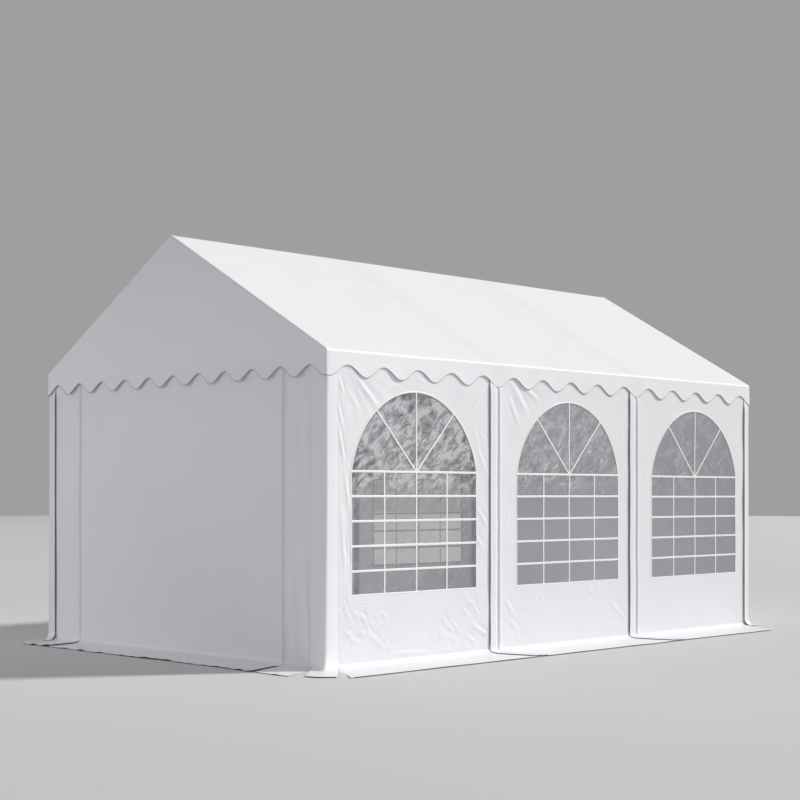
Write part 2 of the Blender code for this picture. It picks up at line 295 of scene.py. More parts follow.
def lay_mesh(name, points, faces, material, uv=None, toward=None, weld=False, **marks):
    """A smooth mesh from points, a list of face index arrays and a place on the cloth.

    toward is the way that the faces look on the whole. marks are values for each point,
    which the materials read. Open edges are marked sharp, so that a thickness added later
    keeps the sheet's own shading up to its edge."""
    points = np.asarray(points, float).reshape(-1, 3)
    if toward is not None:
        a, b, c, d = points[faces[0].T]
        if (np.cross(c - a, d - b) @ np.asarray(toward, float)).sum() < 0:
            faces = [f[:, ::-1] for f in faces]
    corners = np.concatenate([f.ravel() for f in faces])
    sizes = np.concatenate([np.full(len(f), f.shape[1]) for f in faces])
    starts = np.concatenate([[0], np.cumsum(sizes)[:-1]])
    if uv is not None:
        uv = np.asarray(uv, np.float32).reshape(-1, 2)[corners]
    if weld:
        _, first, back = np.unique(np.round(points, 5), axis=0, return_index=True,
                                   return_inverse=True)
        points, corners = points[first], back.ravel()[corners]
        marks = {mark: np.ravel(values)[first] for mark, values in marks.items()}
    mesh = bpy.data.meshes.new(name)
    mesh.vertices.add(len(points))
    mesh.vertices.foreach_set("co", points.astype(np.float32).ravel())
    mesh.loops.add(len(corners))
    mesh.loops.foreach_set("vertex_index", corners.astype(np.int32))
    mesh.polygons.add(len(sizes))
    mesh.polygons.foreach_set("loop_start", starts.astype(np.int32))
    mesh.update(calc_edges=True)
    if uv is not None:
        mesh.uv_layers.new(name="cloth").data.foreach_set("uv", uv.ravel())
    for mark, values in marks.items():
        held = mesh.attributes.new(mark, "FLOAT", "POINT")
        held.data.foreach_set("value", np.asarray(values, np.float32).ravel())
    mesh.validate()
    mesh.shade_smooth()
    edges = np.zeros(len(mesh.loops), np.int32)
    mesh.loops.foreach_get("edge_index", edges)
    sharp = mesh.attributes.get("sharp_edge") or mesh.attributes.new(
        "sharp_edge", "BOOLEAN", "EDGE")
    sharp.data.foreach_set("value", np.bincount(edges, minlength=len(mesh.edges)) == 1)
    mesh.materials.append(material)
    return link_object(name, mesh)


def link_object(name, data):
    made = bpy.data.objects.new(name, data)
    bpy.context.scene.collection.objects.link(made)
    return made


def joined(*parts):
    """Arrays brought to one shape, with their values side by side on a last axis."""
    return np.stack(np.broadcast_arrays(*parts), axis=-1)


def lay_on_wall(name, wall, points, material, a, q, closed=False, **marks):
    """A grid that covers a part of a wall, with its place on the cloth."""
    return lay_mesh(name, points, [grid_faces(*a.shape, closed=closed)], material,
                    uv=joined(a, q), toward=(*WALLS[wall][2], 0.0), **marks)


def grid_faces(rows, columns, closed=False, start=0):
    """Quads of a grid of points laid row by row; closed joins the last column to the first."""
    index = start + np.arange(rows * columns).reshape(rows, columns)
    if closed:
        index = np.column_stack([index, index[:, 0]])
    return np.stack([index[:-1, :-1], index[:-1, 1:], index[1:, 1:], index[1:, :-1]],
                    axis=-1).reshape(-1, 4)


def thicken(piece):
    """Gives a sheet its thickness on the inner side."""
    change = piece.modifiers.new("cloth", "SOLIDIFY")
    change.thickness = CLOTH
    change.offset = -1.0


def dress(piece, slot, *nodes):
    """Rides on the tent and stands for the solids named; slot is not used."""
    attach(piece, "root")
    if nodes:
        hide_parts(*nodes)
    return piece


# Reliefs of cloth: each is a height over the distance along a wall and the height on it

def smooth_step(share):
    """0 below 0 and 1 above 1, with an even S between: 3 x squared less 2 x cubed."""
    share = np.clip(share, 0.0, 1.0)
    return share * share * (3 - 2 * share)


def bell(x, width):
    return np.exp(-(x / width) ** 2)


def swell(a, q, seed, size, height, count=12):
    """A calm relief: the sum of cosines of drawn directions, whose lengths lie about size."""
    draw = np.random.default_rng(seed)
    total = np.zeros(np.broadcast(a, q).shape)
    for _ in range(count):
        turn = draw.uniform(0, pi)
        rate = 2 * pi / (size * draw.uniform(0.6, 1.7))
        total += np.cos(rate * (a * cos(turn) + q * sin(turn)) + draw.uniform(0, 2 * pi))
    return height * total / sqrt(count)


def along_line(a, q, line):
    """The share of the way along a line from its middle, and the share across it."""
    middle_a, middle_q, turn, half, width, _ = line
    along = (a - middle_a) * cos(turn) + (q - middle_q) * sin(turn)
    across = (q - middle_q) * cos(turn) - (a - middle_a) * sin(turn)
    return along / half, across / width


def creases(a, q, lines):
    """Short creases: a bell across the line with a shallower furrow beside it, faded by
    1 less the square of the share along it, squared."""
    total = np.zeros(np.broadcast(a, q).shape)
    for line in lines:
        along, across = along_line(a, q, line)
        fade = np.clip(1 - along ** 2, 0, None) ** 2
        total += line[5] * fade * (np.exp(-across ** 2) - 0.6 * np.exp(-(across - 1.7) ** 2))
    return total


def streaks(a, q, lines):
    """Soft pale stripes: a bell across each line, faded by 1 less the square of the share
    along it."""
    total = np.zeros(np.broadcast(a, q).shape)
    for line in lines:
        along, across = along_line(a, q, (*line[:2], radians(line[2]), *line[3:]))
        total += line[5] * np.clip(1 - along ** 2, 0, None) * np.exp(-across ** 2)
    return total


def corner_fan(a, q, corner_a, corner_q, lean, spread, pitch, reach, height):
    """Folds that fan out of a pulled corner: a cosine of the angle about the corner, under
    a bell of that angle, which grows and then dies with the distance."""
    angle = np.arctan2(corner_q - q, a - corner_a) - lean
    far = np.hypot(a - corner_a, corner_q - q) / reach
    grown = far * np.exp(1 - far)
    return height * grown ** 2 * bell(angle, spread) * np.cos(2 * pi * angle / pitch)


def crumple(a, q, seed, size, height, count=10):
    """A crumpled sheet: the sum of drawn folded waves, each a triangle wave of a direction
    whose line is bent by a slow cosine and which comes and goes over the sheet."""
    draw = np.random.default_rng(seed)
    total = np.zeros(np.broadcast(a, q).shape)
    for _ in range(count):
        turn, bend, fade = draw.uniform(0, pi, 3)
        pitch = size * draw.uniform(0.6, 1.6)
        start, phase, rest = draw.uniform(0, 2 * pi, 3)
        slow = np.cos((a * cos(bend) + q * sin(bend)) * 2 * pi / (3.1 * size) + phase)
        line = (a * cos(turn) + q * sin(turn)) / pitch + start + 0.35 * slow
        come = (a * cos(fade) + q * sin(fade)) * 2 * pi / (2.3 * size) + rest
        saw = np.abs(line % 1.0 - 0.5) * 2
        total += smooth_step(0.4 + 0.9 * np.cos(come)) * (saw - 0.5) * pitch / size
    return height * total / sqrt(count)


def drawn_creases(seed, count, low, high, turns, sizes, height):
    """Creases drawn evenly over a box of the wall, with their turn and size in a range."""
    draw = np.random.default_rng(seed)
    lines = []
    for _ in range(int(count)):
        half = draw.uniform(*sizes)
        lines.append((draw.uniform(low[0], high[0]), draw.uniform(low[1], high[1]),
                      draw.uniform(*turns), half, draw.uniform(0.10, 0.22) * half + 0.004,
                      height * draw.uniform(0.4, 1.0)))
    return lines


def freedom(q):
    """How freely the cloth stands off: a quarter under the valance, fully below it."""
    return 0.25 + 0.75 * smooth_step((1.90 - q) / 0.12)


# Walls as developed cloth: a runs along the wall and q up the cloth

def hang(wall, a, q, relief, lean=0.0):
    """Points of a wall's outer face: straight down, a quarter of an ellipse, and out along
    the ground. relief is added along the face's normal. lean moves the flap along the
    wall as it goes out, by its share of the reach to a power of 1.3."""
    base, along, out = (np.array(v, float) for v in WALLS[wall])
    turn = np.clip((BEND_UP - q) / BEND_LENGTH, 0, 1) * pi / 2
    gone = BEND_OUT * (1 - np.cos(turn)) + np.maximum(FLAP_START - q, 0)
    away = gone + relief * np.cos(turn) - SETBACK
    up = np.where(q > BEND_UP, q, BEND_UP * (1 - np.sin(turn))) + relief * np.sin(turn) + CLOTH
    a = a + lean * np.clip(gone / FLAP_REACH, 0, 1.2) ** 1.3
    plan = base + a[..., None] * along + away[..., None] * out
    return np.concatenate([plan, np.maximum(up, CLOTH)[..., None]], axis=-1)


def flap_edge(a, seed, reach):
    """The height on the cloth of a flap's outer edge, which waves by a centimetre."""
    return FLAP_START - (reach - BEND_OUT) - swell(a, 0 * a, seed, 0.55, 0.005, 5)


def flap_relief(a, q, seed, lift, curl=0.0):
    """A flap lifts off the ground by the square of the share of its way out over 22 cm, in
    shallow waves of 62 cm. curl is the height of the small uneven ones of its hem."""
    share = np.clip((FLAP_START - q) / 0.22, 0, 1.3)
    wave = 0.5 + 0.5 * np.sin(2 * pi * a / 0.62 + seed)
    hem = np.clip(swell(a, 0 * a, seed + 2, 0.12, curl, 6), -0.3 * lift, None)
    return share ** 2 * (lift * (0.85 + 0.15 * wave) + hem)


def hung_length(reach):
    """The length of a wall's cloth from its top to its flap's outer edge."""
    return WALL_TOP - FLAP_START + reach - BEND_OUT


def arch_axes(half, rise):
    """The half width and the half height of the arch's whole ellipse."""
    return half / sqrt(1 - (ARCH_SUNK / (1 + ARCH_SUNK)) ** 2), rise * (1 + ARCH_SUNK)


def arch(share, half, rise):
    """Points of the arch from its right foot to its left foot: the cosine and the sine of
    an even turn, times the ellipse's half width and half height."""
    wide, high = arch_axes(half, rise)
    start = asin(ARCH_SUNK * rise / high)
    turn = start + share * (pi - 2 * start)
    return wide * np.cos(turn), WINDOW_SPRING - ARCH_SUNK * rise + high * np.sin(turn)


def evenly(*stops_and_counts):
    """Values from stop to stop with a count of steps between each two, without the last."""
    stops, counts = stops_and_counts[::2], stops_and_counts[1::2]
    return np.concatenate([np.linspace(first, last, count, endpoint=False)
                           for first, last, count in zip(stops, stops[1:], counts)])


def window_outline(lap):
    """A window's outline from its lower left corner and round by the sill, the right
    jamb, the arch and the left jamb, widened by a lap."""
    sill, jamb, low_arch, high_arch = RING_STEPS
    half, bottom = WINDOW_HALF + lap, WINDOW_SILL - lap
    share = evenly(0, low_arch, LOW_ARCH, high_arch, 1 - LOW_ARCH, low_arch, 1)
    arch_a, arch_q = arch(share, half, WINDOW_RISE + lap)
    a = np.concatenate([evenly(-half, sill, half, jamb, half), arch_a, np.full(jamb, -half)])
    q = np.concatenate([np.full(sill, bottom), evenly(bottom, jamb, WINDOW_SPRING), arch_q,
                        evenly(WINDOW_SPRING, jamb, bottom)])
    return np.column_stack([a, q])


def panel_outline(left, right, middle, seed):
    """The outline of a window wall, met point for point by the window's own."""
    sill, jamb, low_arch, high_arch = RING_STEPS
    edge = evenly(left, sill, right)
    low_left, low_right = flap_edge(np.array([left, right]), seed, SIDE_REACH)
    a = np.concatenate([edge, evenly(right, jamb + low_arch, right, high_arch, left,
                                     low_arch + jamb, left)])
    q = np.concatenate([flap_edge(edge, seed, SIDE_REACH),
                        evenly(low_right, jamb, WINDOW_SPRING, low_arch, WALL_TOP, high_arch,
                               WALL_TOP, low_arch, WINDOW_SPRING, jamb, low_left)])
    return np.column_stack([a - middle, q])


def enclosed(outline):
    """The area inside an outline: half the sum of the cross products along it."""
    a, q = outline.T
    return 0.5 * abs((a * np.roll(q, -1) - np.roll(a, -1) * q).sum())


def window_depth(a, q):
    """About how far a point lies inside the window's outline."""
    side = WINDOW_HALF - np.abs(a)
    above = np.maximum(q - WINDOW_SPRING, 0)
    wide, high = arch_axes(WINDOW_HALF, WINDOW_RISE)
    under = (1 - np.hypot(a / wide, (above + ARCH_SUNK * WINDOW_RISE) / high)) * high
    return np.minimum(np.minimum(side, q - WINDOW_SILL), np.where(above > 0, under, side))


class WindowPanel:
    """One bay's wall: its span along the side and the relief that its cloth, film, bars
    and border share."""

    def __init__(self, side, index, sizes):
        self.side, self.index, self.sizes = side, index, sizes
        self.label = f"{side}_{index + 1}"
        self.seed = 100 * index + (7 if side == "right" else 53)
        self.middle = (index + 0.5) * BAY + WINDOW_SHIFT
        self.drop = WINDOW_DROPS[index]
        self.first, self.last = index == 0, index == BAYS - 1
        self.left = index * BAY - POST_COVER - COVER_GAP
        self.seam = (index + 1) * BAY - POST_COVER - COVER_GAP
        if self.first:
            self.left = CORNERS["front", side].lap_side - UNDERLAP
        if self.last:
            self.seam = LENGTH - CORNERS["back", side].lap_side
        self.right = self.seam + UNDERLAP
        self.worn = CLOTH_WORN[index]
        self.lines = self.draw_lines()

    def draw_lines(self):
        """The seen creases, and small drawn ones near the foot and beside the window."""
        left, seam, middle = self.left, self.seam, self.middle
        lines, few = [], 2
        if self.side == "right":
            few = 1
            lines = [(a, q, radians(turn), half, 1.15 * width, 1.8 * height)
                     for a, q, turn, half, width, height in SEEN_CREASES
                     if left < a < self.right]
        # How many, the box, the range of turns and of half lengths, and the height's share
        drawn = (
            (12, (left + 0.06, 0.02), (middle - 0.25, 0.40), (-1.0, 0.3), (0.025, 0.06), 1),
            (12, (middle + 0.2, 0.02), (seam - 0.04, 0.40), (-0.9, -0.3), (0.03, 0.07), 1),
            (6, (left + 0.04, 0.45), (middle - WINDOW_HALF - 0.02, 1.3), (-1.9, -1.2),
             (0.04, 0.12), 0.6),
            (7, (seam - 0.17, 0.45), (seam - 0.03, 1.7), (-1.3, -0.5), (0.03, 0.09), 0.6),
            (3, (middle - 0.5, 1.78), (middle + 0.6, 1.88), (-0.5, 0.5), (0.03, 0.08), 0.5),
        )
        height = self.sizes.crease * self.worn
        for more, (count, low, high, turns, halves, share) in enumerate(drawn):
            lines += drawn_creases(self.seed + more, count * few, low, high, turns, halves,
                                   height * share)
        return lines

    def edge_relief(self, a, q):
        """A flat lap of 5 cm that stands proud, then a soft ridge over the post, 10 cm from
        the edge; at the other end the cloth sinks under the next lap. Both are tight
        under the valance."""
        relief = np.zeros_like(a)
        if not self.first:
            past = a - self.left
            relief += EDGE_PROUD * (1 - smooth_step((past - 0.05) / 0.035))
            relief += POST_RIDGE * bell(past - 0.100, 0.013)
        sunk = smooth_step((a - self.seam + 0.012) / 0.03) * smooth_step((q - 0.02) / 0.06)
        proud = CORNERS["back", self.side].proud_side
        depth = 0.003 if self.last and proud < EDGE_PROUD else EDGE_SUNK
        relief = relief * freedom(q) * (0.55 + 0.45 * smooth_step(q / 0.1))
        relief = relief - depth * sunk * freedom(q)
        if self.first:
            relief = relief - 0.002 * smooth_step((self.left + UNDERLAP + 0.004 - a) / 0.01)
        return relief

    def relief(self, a, q):
        fan = corner_fan(a, q, self.left + 0.08, 1.97, lean=0.80, spread=0.40, pitch=0.21,
                         reach=0.22, height=self.sizes.fold * self.worn)
        height = (swell(a, q, self.seed + 5, 0.45, 0.0012) + fan
                  + creases(a, q, self.lines)
                  + crumple(a, q, self.seed + 6, 0.16, 0.0011 * self.worn))
        return (height * smooth_step((q + 0.02) / 0.08) + self.edge_relief(a, q)
                + flap_relief(a, q, self.seed, self.sizes.flap_lift))

    def wear(self, a, q):
        """How creased the cloth is: most near the foot."""
        foot = smooth_step((0.50 - q) / 0.15)
        ends = smooth_step((np.abs(a - self.middle) - 0.1) / 0.4)
        return self.worn * (0.12 + 0.6 * foot * ends) * smooth_step((q - 0.015) / 0.03)

    def crumpled(self, q):
        """How crumpled the film is: much in the arch and little below."""
        return FILM_WORN[self.index] * (0.14 + 0.86 * smooth_step((q - 1.02) / 0.22))

    def film_relief(self, a, q, inside):
        """The film's own shape, crumpled over a calm swell, and flat at its edge."""
        a, height = a - self.middle, self.sizes.film_crease
        rough = (crumple(a, q, self.seed + 11, 0.16, height, 5)
                 + crumple(a, q, self.seed + 12, 0.085, height * 0.5, 5))
        calm = swell(a, q, self.seed + 13, 0.30, 0.0010)
        return (calm + rough * self.crumpled(q)) * np.clip(inside / 0.05, 0, 1)

    def stripes(self, a, q):
        """Painted reflections of the sky as pale stripes, and below zero a dark line along the
        arch, painted shadow of the border on the film."""
        inside = window_depth(a - self.middle, q + self.drop)
        # Painted shadow of the border, just inside it along the arch
        line = -0.8 * bell(inside - 0.007, 0.005) * (q > WINDOW_SPRING + 0.05)
        if self.side == "right":
            # Painted reflections of the sky
            line = line + 1.25 * streaks(a, q, SEEN_STREAKS)
        return line

    def lean(self, a):
        """How far the flap's edge lies along the wall from its foot."""
        right, total = self.side == "right", np.zeros_like(a)
        if self.first:
            total += (-0.20 if right else 0.24) * bell(a - self.left, 0.30)
        if self.last:
            total += (-0.23 if right else 0.20) * smooth_step((a - self.seam + 0.5) / 0.5)
        return total

    def on_cloth(self, spot):
        """Where a spot of the window's own outline lies on the side's cloth."""
        return spot[..., 0] + self.middle, spot[..., 1] - self.drop

    def place(self, a, q, above=0.0):
        return hang(self.side, a, q, self.relief(a, q) + above, self.lean(a))


# Materials

def connect(node, inputs):
    """Links a node's inputs, by name or number, to their sources, or sets their values."""
    for name, value in inputs.items():
        if isinstance(value, bpy.types.NodeSocket):
            node.id_data.links.new(value, node.inputs[name])
        else:
            node.inputs[name].default_value = value


def add_node(tree, kind, output, inputs=None, **settings):
    """Adds a node with its settings and inputs, and gives one of its outputs."""
    node = tree.nodes.new("ShaderNode" + kind)
    for name, value in settings.items():
        setattr(node, name, value)
    connect(node, inputs or {})
    return node.outputs[output]


def material(name, maker, *facts):
    """The material of that name, made once: its maker adds nodes and gives the inputs of
    its shader."""
    made = bpy.data.materials.get(name)
    if not made:
        made = bpy.data.materials.new(name)
        made.use_nodes = True
        tree = made.node_tree
        connect(tree.nodes["Principled BSDF"], maker(partial(add_node, tree), *facts))
    return made


def shaded(colour, share):
    return (*(share * c for c in colour), 1.0)


# The dark that the painted shades of the roof cloth mix towards
BLACK = (0.0, 0.0, 0.0, 1.0)


def coated_cloth(node, colour, roughness, rafter_shade=0.0):
    """PVC-coated polyester, calendered: a smooth satin white through which the scrim's
    threads, 3 mm apart, show only up close, with a faint cloudiness of half a metre and
    shallow creases of 3 to 10 cm where it has been folded. Its last value darkens soft
    stripes above the two inner rafters, painted shade for the rafters' shadow in the
    daylight through the thin cloth, and brings in a dark line painted along the valance's
    lower edge, painted shade for the thin shadow where the valance hangs off the wall."""
    place = node("TexCoord", "Object")
    cloth = node("UVMap", "UV", uv_map="cloth")
    cloud = node("TexNoise", "Fac", {"Vector": place, "Scale": 2.2, "Detail": 3.0})
    tone = node("Mix", 2, {0: cloud, 6: shaded(colour, 0.965), 7: shaded(colour, 1.0)},
                data_type="RGBA")
    if rafter_shade:
        # Painted shade: soft darker stripes above the two inner rafters, for the rafters' shadow
        # through the thin cloth
        off = node("SeparateXYZ", "Y", {"Vector": place})
        off = node("Math", "Value", {0: off}, operation="ABSOLUTE")
        off = node("Math", "Value", {0: off, 1: BAY / 2}, operation="SUBTRACT")
        off = node("Math", "Value", {0: off}, operation="ABSOLUTE")
        rafter_shade_band = node("MapRange", "Result", {"Value": off, "From Max": 0.17,
                                           "To Min": rafter_shade, "To Max": 0.0},
                    interpolation_type="SMOOTHSTEP")
        tone = node("Mix", 2, {0: rafter_shade_band, 6: tone, 7: BLACK}, data_type="RGBA")
        # Painted shade: a dark line of 3 mm along the valance's lower edge, for the thin shadow
        # where the valance hangs off the wall
        cut = node("Attribute", "Fac", attribute_name="cut_edge")
        edge_shade_line = node("MapRange", "Result", {"Value": cut, "From Min": 0.60, "From Max": 0.85,
                                           "To Max": 0.60}, interpolation_type="SMOOTHSTEP")
        tone = node("Mix", 2, {0: edge_shade_line, 6: tone, 7: BLACK}, data_type="RGBA")
    handled = node("TexNoise", "Fac", {"Vector": place, "Scale": 7.0, "Detail": 4.0})
    gloss = node("MapRange", "Result", {"Value": handled, "To Min": roughness - 0.06,
                                        "To Max": roughness + 0.08})
    # A band texture repeats every 0.314 of a unit at a scale of 1, so 3 mm takes 105
    warp, weft = (node("TexWave", "Fac", {"Vector": cloth, "Scale": 105.0},
                       bands_direction=way) for way in "XY")
    scrim = node("Math", "Value", {0: warp, 1: weft}, operation="MAXIMUM")
    # Creases: the valleys of a noise stretched along a slanting line, at about 4 cm by
    # 12 cm, which come and go with a slower noise
    slant = node("Mapping", "Vector", {"Vector": cloth, "Rotation": (0.0, 0.0, radians(-38)),
                                       "Scale": (1.0, 0.38, 1.0)}, vector_type="TEXTURE")
    rumple = node("TexNoise", "Fac", {"Vector": slant, "Scale": 9.0, "Detail": 2.0,
                                      "Distortion": 0.8})
    valley = node("Math", "Value", {0: rumple, 1: 0.5}, operation="SUBTRACT")
    valley = node("Math", "Value", {0: valley}, operation="ABSOLUTE")
    valley = node("MapRange", "Result", {"Value": valley, "From Max": 0.11},
                  interpolation_type="SMOOTHSTEP")
    patch = node("TexNoise", "Fac", {"Vector": place, "Scale": 3.3, "Detail": 1.0})
    patch = node("MapRange", "Result", {"Value": patch, "From Min": 0.45, "From Max": 0.62})
    worn = node("Attribute", "Fac", attribute_name="worn")
    crease = node("Math", "Value", {0: valley, 1: patch}, operation="MULTIPLY")
    crease = node("Math", "Value", {0: crease, 1: worn}, operation="MULTIPLY")
    # Shallow dimples of 2 cm, where the coating has been rolled
    dimples = node("TexNoise", "Fac", {"Vector": place, "Scale": 30.0, "Detail": 2.0})
    folded = node("Bump", "Normal", {"Height": crease, "Distance": 0.0022})
    soft = node("Bump", "Normal", {"Height": dimples, "Normal": folded, "Distance": 0.00022})
    fine = node("Bump", "Normal", {"Height": scrim, "Normal": soft, "Distance": 0.00003})
    return {"Base Color": tone, "Roughness": gloss, "Normal": fine, "IOR": 1.47}


def welded_strip(node, colour):
    """Plain PVC strip, welded on hot: whiter and glossier than the cloth, with a fine
    knurl of 2 mm from the welding wheel."""
    place = node("TexCoord", "Object")
    cloud = node("TexNoise", "Fac", {"Vector": place, "Scale": 5.0, "Detail": 2.0})
    tone = node("Mix", 2, {0: cloud, 6: shaded(colour, 0.96), 7: shaded(colour, 1.0)},
                data_type="RGBA")
    knurl = node("TexVoronoi", "Distance", {"Vector": place, "Scale": 500.0})
    rough = node("MapRange", "Result", {"Value": cloud, "To Min": 0.30, "To Max": 0.42})
    relief = node("Bump", "Normal", {"Height": knurl, "Distance": 0.00004})
    return {"Base Color": tone, "Roughness": rough, "Normal": relief}


def clear_film(node, colour, haze_and_reflection):
    """Clear soft PVC sheet, calendered: see-through with a grey veil. Where it has been
    folded it is clouded in slanting streaks of 3 to 15 cm, some paler and some darker,
    with thin dark folds between them, and it is more opaque there; the paler streaks are
    partly whitened creases and partly painted reflection, and the darker streaks and the
    thin dark folds are painted shade of the crumpled facets. Pale stripes are painted
    reflections of the sky where a bend mirrors it, a dark line along the arch is painted
    shadow of the border, and a ripple of about 3 cm breaks up its reflections."""
    place = node("TexCoord", "Object")
    crumpled, stripe = (node("Attribute", "Fac", attribute_name=name)
                        for name in ("crumpled", "stripe"))
    slant = node("Mapping", "Vector", {"Vector": place, "Rotation": (radians(36), 0.0, 0.0),
                                       "Scale": (1.0, 1.0, 0.5)}, vector_type="TEXTURE")
    broad, small, line = (
        node("TexNoise", "Fac", {"Vector": slant, "Scale": scale, "Detail": detail,
                                 "Distortion": distortion})
        for scale, detail, distortion in ((6.0, 1.0, 0.8), (13.0, 1.5, 1.0), (7.0, 1.0, 1.2)))
    # Painted reflection above nought and painted shade below it, paler and darker, with the thin
    # folds taken off as painted shade of the creases
    mark = node("Math", "Value", {0: broad, 1: small}, operation="ADD")
    mark = node("Math", "Value", {0: mark, 1: 4.6, 2: -4.0}, operation="MULTIPLY_ADD")
    line = node("Math", "Value", {0: line, 1: 0.5}, operation="SUBTRACT")
    line = node("Math", "Value", {0: line}, operation="ABSOLUTE")
    fold = node("MapRange", "Result", {"Value": line, "From Max": 0.035, "To Min": 0.7,
                                       "To Max": 0.0})
    mark = node("Math", "Value", {0: mark, 1: fold}, operation="SUBTRACT")
    mark = node("Math", "Value", {0: mark, 1: crumpled}, operation="MULTIPLY")
    smear = node("TexNoise", "Fac", {"Vector": slant, "Scale": 3.0, "Detail": 5.0,
                                     "Roughness": 0.62, "Distortion": 0.5})
    rubbed = node("MapRange", "Result", {"Value": smear, "From Min": 0.60, "From Max": 0.85,
                                         "To Max": 0.30})
    # Pale: painted reflection of the stripes and facets, with the whitened creases and rubbed
    # smears
    pale = node("Math", "Value", {0: stripe, 1: mark}, operation="MAXIMUM")
    pale = node("Math", "Value", {0: rubbed, 1: pale}, operation="MAXIMUM")
    light = node("Mix", 2, {0: pale, 6: shaded(colour, 1.0), 7: shaded(haze_and_reflection, 1.0)},
                 data_type="RGBA")
    # Deep: painted shade of the facets, the thin folds and the border's shadow, mixed towards a
    # dark copy of the film's grey
    deep = node("Math", "Value", {0: mark, 1: stripe}, operation="MINIMUM")
    deep = node("Math", "Value", {0: deep, 1: -1.0}, operation="MULTIPLY")
    tone = node("Mix", 2, {0: deep, 6: light, 7: shaded(colour, 0.30)}, data_type="RGBA")
    marked = node("Math", "Value", {0: pale, 1: deep}, operation="MAXIMUM")
    veil = node("MapRange", "Result", {"Value": marked, "To Min": 0.34, "To Max": 0.72})
    rough = node("MapRange", "Result", {"Value": smear, "To Min": 0.10, "To Max": 0.26})
    ripple = node("TexNoise", "Fac", {"Vector": place, "Scale": 26.0, "Detail": 3.0})
    relief = node("Bump", "Normal", {"Height": ripple, "Distance": 0.0008})
    return {"Base Color": tone, "Alpha": veil, "Roughness": rough, "Normal": relief,
            "IOR": 1.53}


def zip_tape(node, colour):
    """Woven polyester zip tape: matt, with a herringbone of 2 mm."""
    cloth = node("UVMap", "UV", uv_map="cloth")
    weave = node("TexWave", "Fac", {"Vector": cloth, "Scale": 157.0},
                 bands_direction="DIAGONAL")
    tone = node("Mix", 2, {0: weave, 6: shaded(colour, 0.9), 7: shaded(colour, 1.0)},
                data_type="RGBA")
    relief = node("Bump", "Normal", {"Height": weave, "Distance": 0.0001})
    return {"Base Color": tone, "Roughness": 0.8, "Normal": relief}


def moulded_coil(node, colour):
    """Moulded nylon coil of a zip: a little glossy, and dirtier in places."""
    place = node("TexCoord", "Object")
    dirt = node("TexNoise", "Fac", {"Vector": place, "Scale": 40.0, "Detail": 3.0})
    tone = node("Mix", 2, {0: dirt, 6: shaded(colour, 0.8), 7: shaded(colour, 1.05)},
                data_type="RGBA")
    rough = node("MapRange", "Result", {"Value": dirt, "To Min": 0.32, "To Max": 0.5})
    return {"Base Color": tone, "Roughness": rough}


def zinc_steel(node, colour):
    """Steel tube, zinc-coated by dipping: dull grey metal with spangles of 12 mm, each a
    little lighter or darker, over a slower cloudiness."""
    place = node("TexCoord", "Object")
    spangle = node("TexVoronoi", "Color", {"Vector": place, "Scale": 80.0})
    patch = node("TexNoise", "Fac", {"Vector": place, "Scale": 9.0, "Detail": 4.0})
    shade = node("SeparateColor", "Red", {"Color": spangle})
    mixed = node("Math", "Value", {0: shade, 1: 0.4, 2: patch}, operation="MULTIPLY_ADD")
    tone = node("Mix", 2, {0: mixed, 6: shaded(colour, 0.72), 7: shaded(colour, 1.08)},
                data_type="RGBA")
    rough = node("MapRange", "Result", {"Value": mixed, "To Min": 0.34, "To Max": 0.56})
    relief = node("Bump", "Normal", {"Height": mixed, "Distance": 0.00008})
    return {"Base Color": tone, "Roughness": rough, "Normal": relief, "Metallic": 1.0}


def painted_floor(node, colour):
    """Studio floor, rolled with matt paint: nearly even, with a soft cloudiness."""
    place = node("TexCoord", "Object")
    cloud = node("TexNoise", "Fac", {"Vector": place, "Scale": 0.6, "Detail": 4.0})
    tone = node("Mix", 2, {0: cloud, 6: shaded(colour, 0.97), 7: shaded(colour, 1.0)},
                data_type="RGBA")
    return {"Base Color": tone, "Roughness": 0.75}


def wall_cloth(colours):
    return material("pvc_coated_polyester_wall", coated_cloth, colours.wall, 0.44)


def strip_weld(colours):
    return material("welded_pvc_strip", welded_strip, colours.strip)


# Roof cover

def roof_section(sizes, inset):
    """Half of the roof's section above the valance, from the eave to the ridge, as
    (across, up): an arc at the eave, the straight slope, and half the arc at the ridge.
    inset moves it inwards along its normal."""
    level = HALF_W * sin(PITCH) + EAVE * cos(PITCH)
    eave_x = HALF_W - sizes.eave_round
    eave_z = (level - sizes.eave_round - eave_x * sin(PITCH)) / cos(PITCH)
    ridge_z = (level - sizes.ridge_round) / cos(PITCH)

    def arc(x, z, radius, first, last, count):
        turn = np.linspace(first, last, count)
        return np.column_stack([x + (radius - inset) * np.cos(turn),
                                z + (radius - inset) * np.sin(turn)])

    eave = arc(eave_x, eave_z, sizes.eave_round, 0, pi / 2 - PITCH, 5)
    ridge = arc(0, ridge_z, sizes.ridge_round, pi / 2 - PITCH, pi / 2, 4)
    share = np.linspace(0, 1, SLOPE_STEPS + 1)[1:-1, None]
    return np.concatenate([eave, eave[-1] + share * (ridge[0] - eave[-1]), ridge])


def valance(sizes, edge_x, edge_y, top, share, waves, out, flare, start=0.0):
    """Rows from the valance's wavy lower edge up to the eave, hung out by the depth to a
    power of 1.5, and less towards the corners. start moves the wave along its edge."""
    wave = np.cos(2 * pi * waves * (share - start / LENGTH))
    low = EAVE - sizes.valance_mean - sizes.valance_wave * wave
    z = low + np.linspace(0, 1, VALANCE_ROWS + 1)[:, None] * (top - low)
    deep = (top - z) / (sizes.valance_mean + sizes.valance_wave)
    free = smooth_step((np.minimum(share, 1 - share) * waves - 0.05) / 0.5)
    soft = swell(edge_x + edge_y + 0 * z, z, 9, 0.17, 0.0014) - 0.0022 * wave
    hung = (0.55 + 0.45 * free) * flare * deep ** 1.5 + soft * deep * (0.2 + 0.8 * free)
    return joined(edge_x + hung * out[0], edge_y + hung * out[1], z)


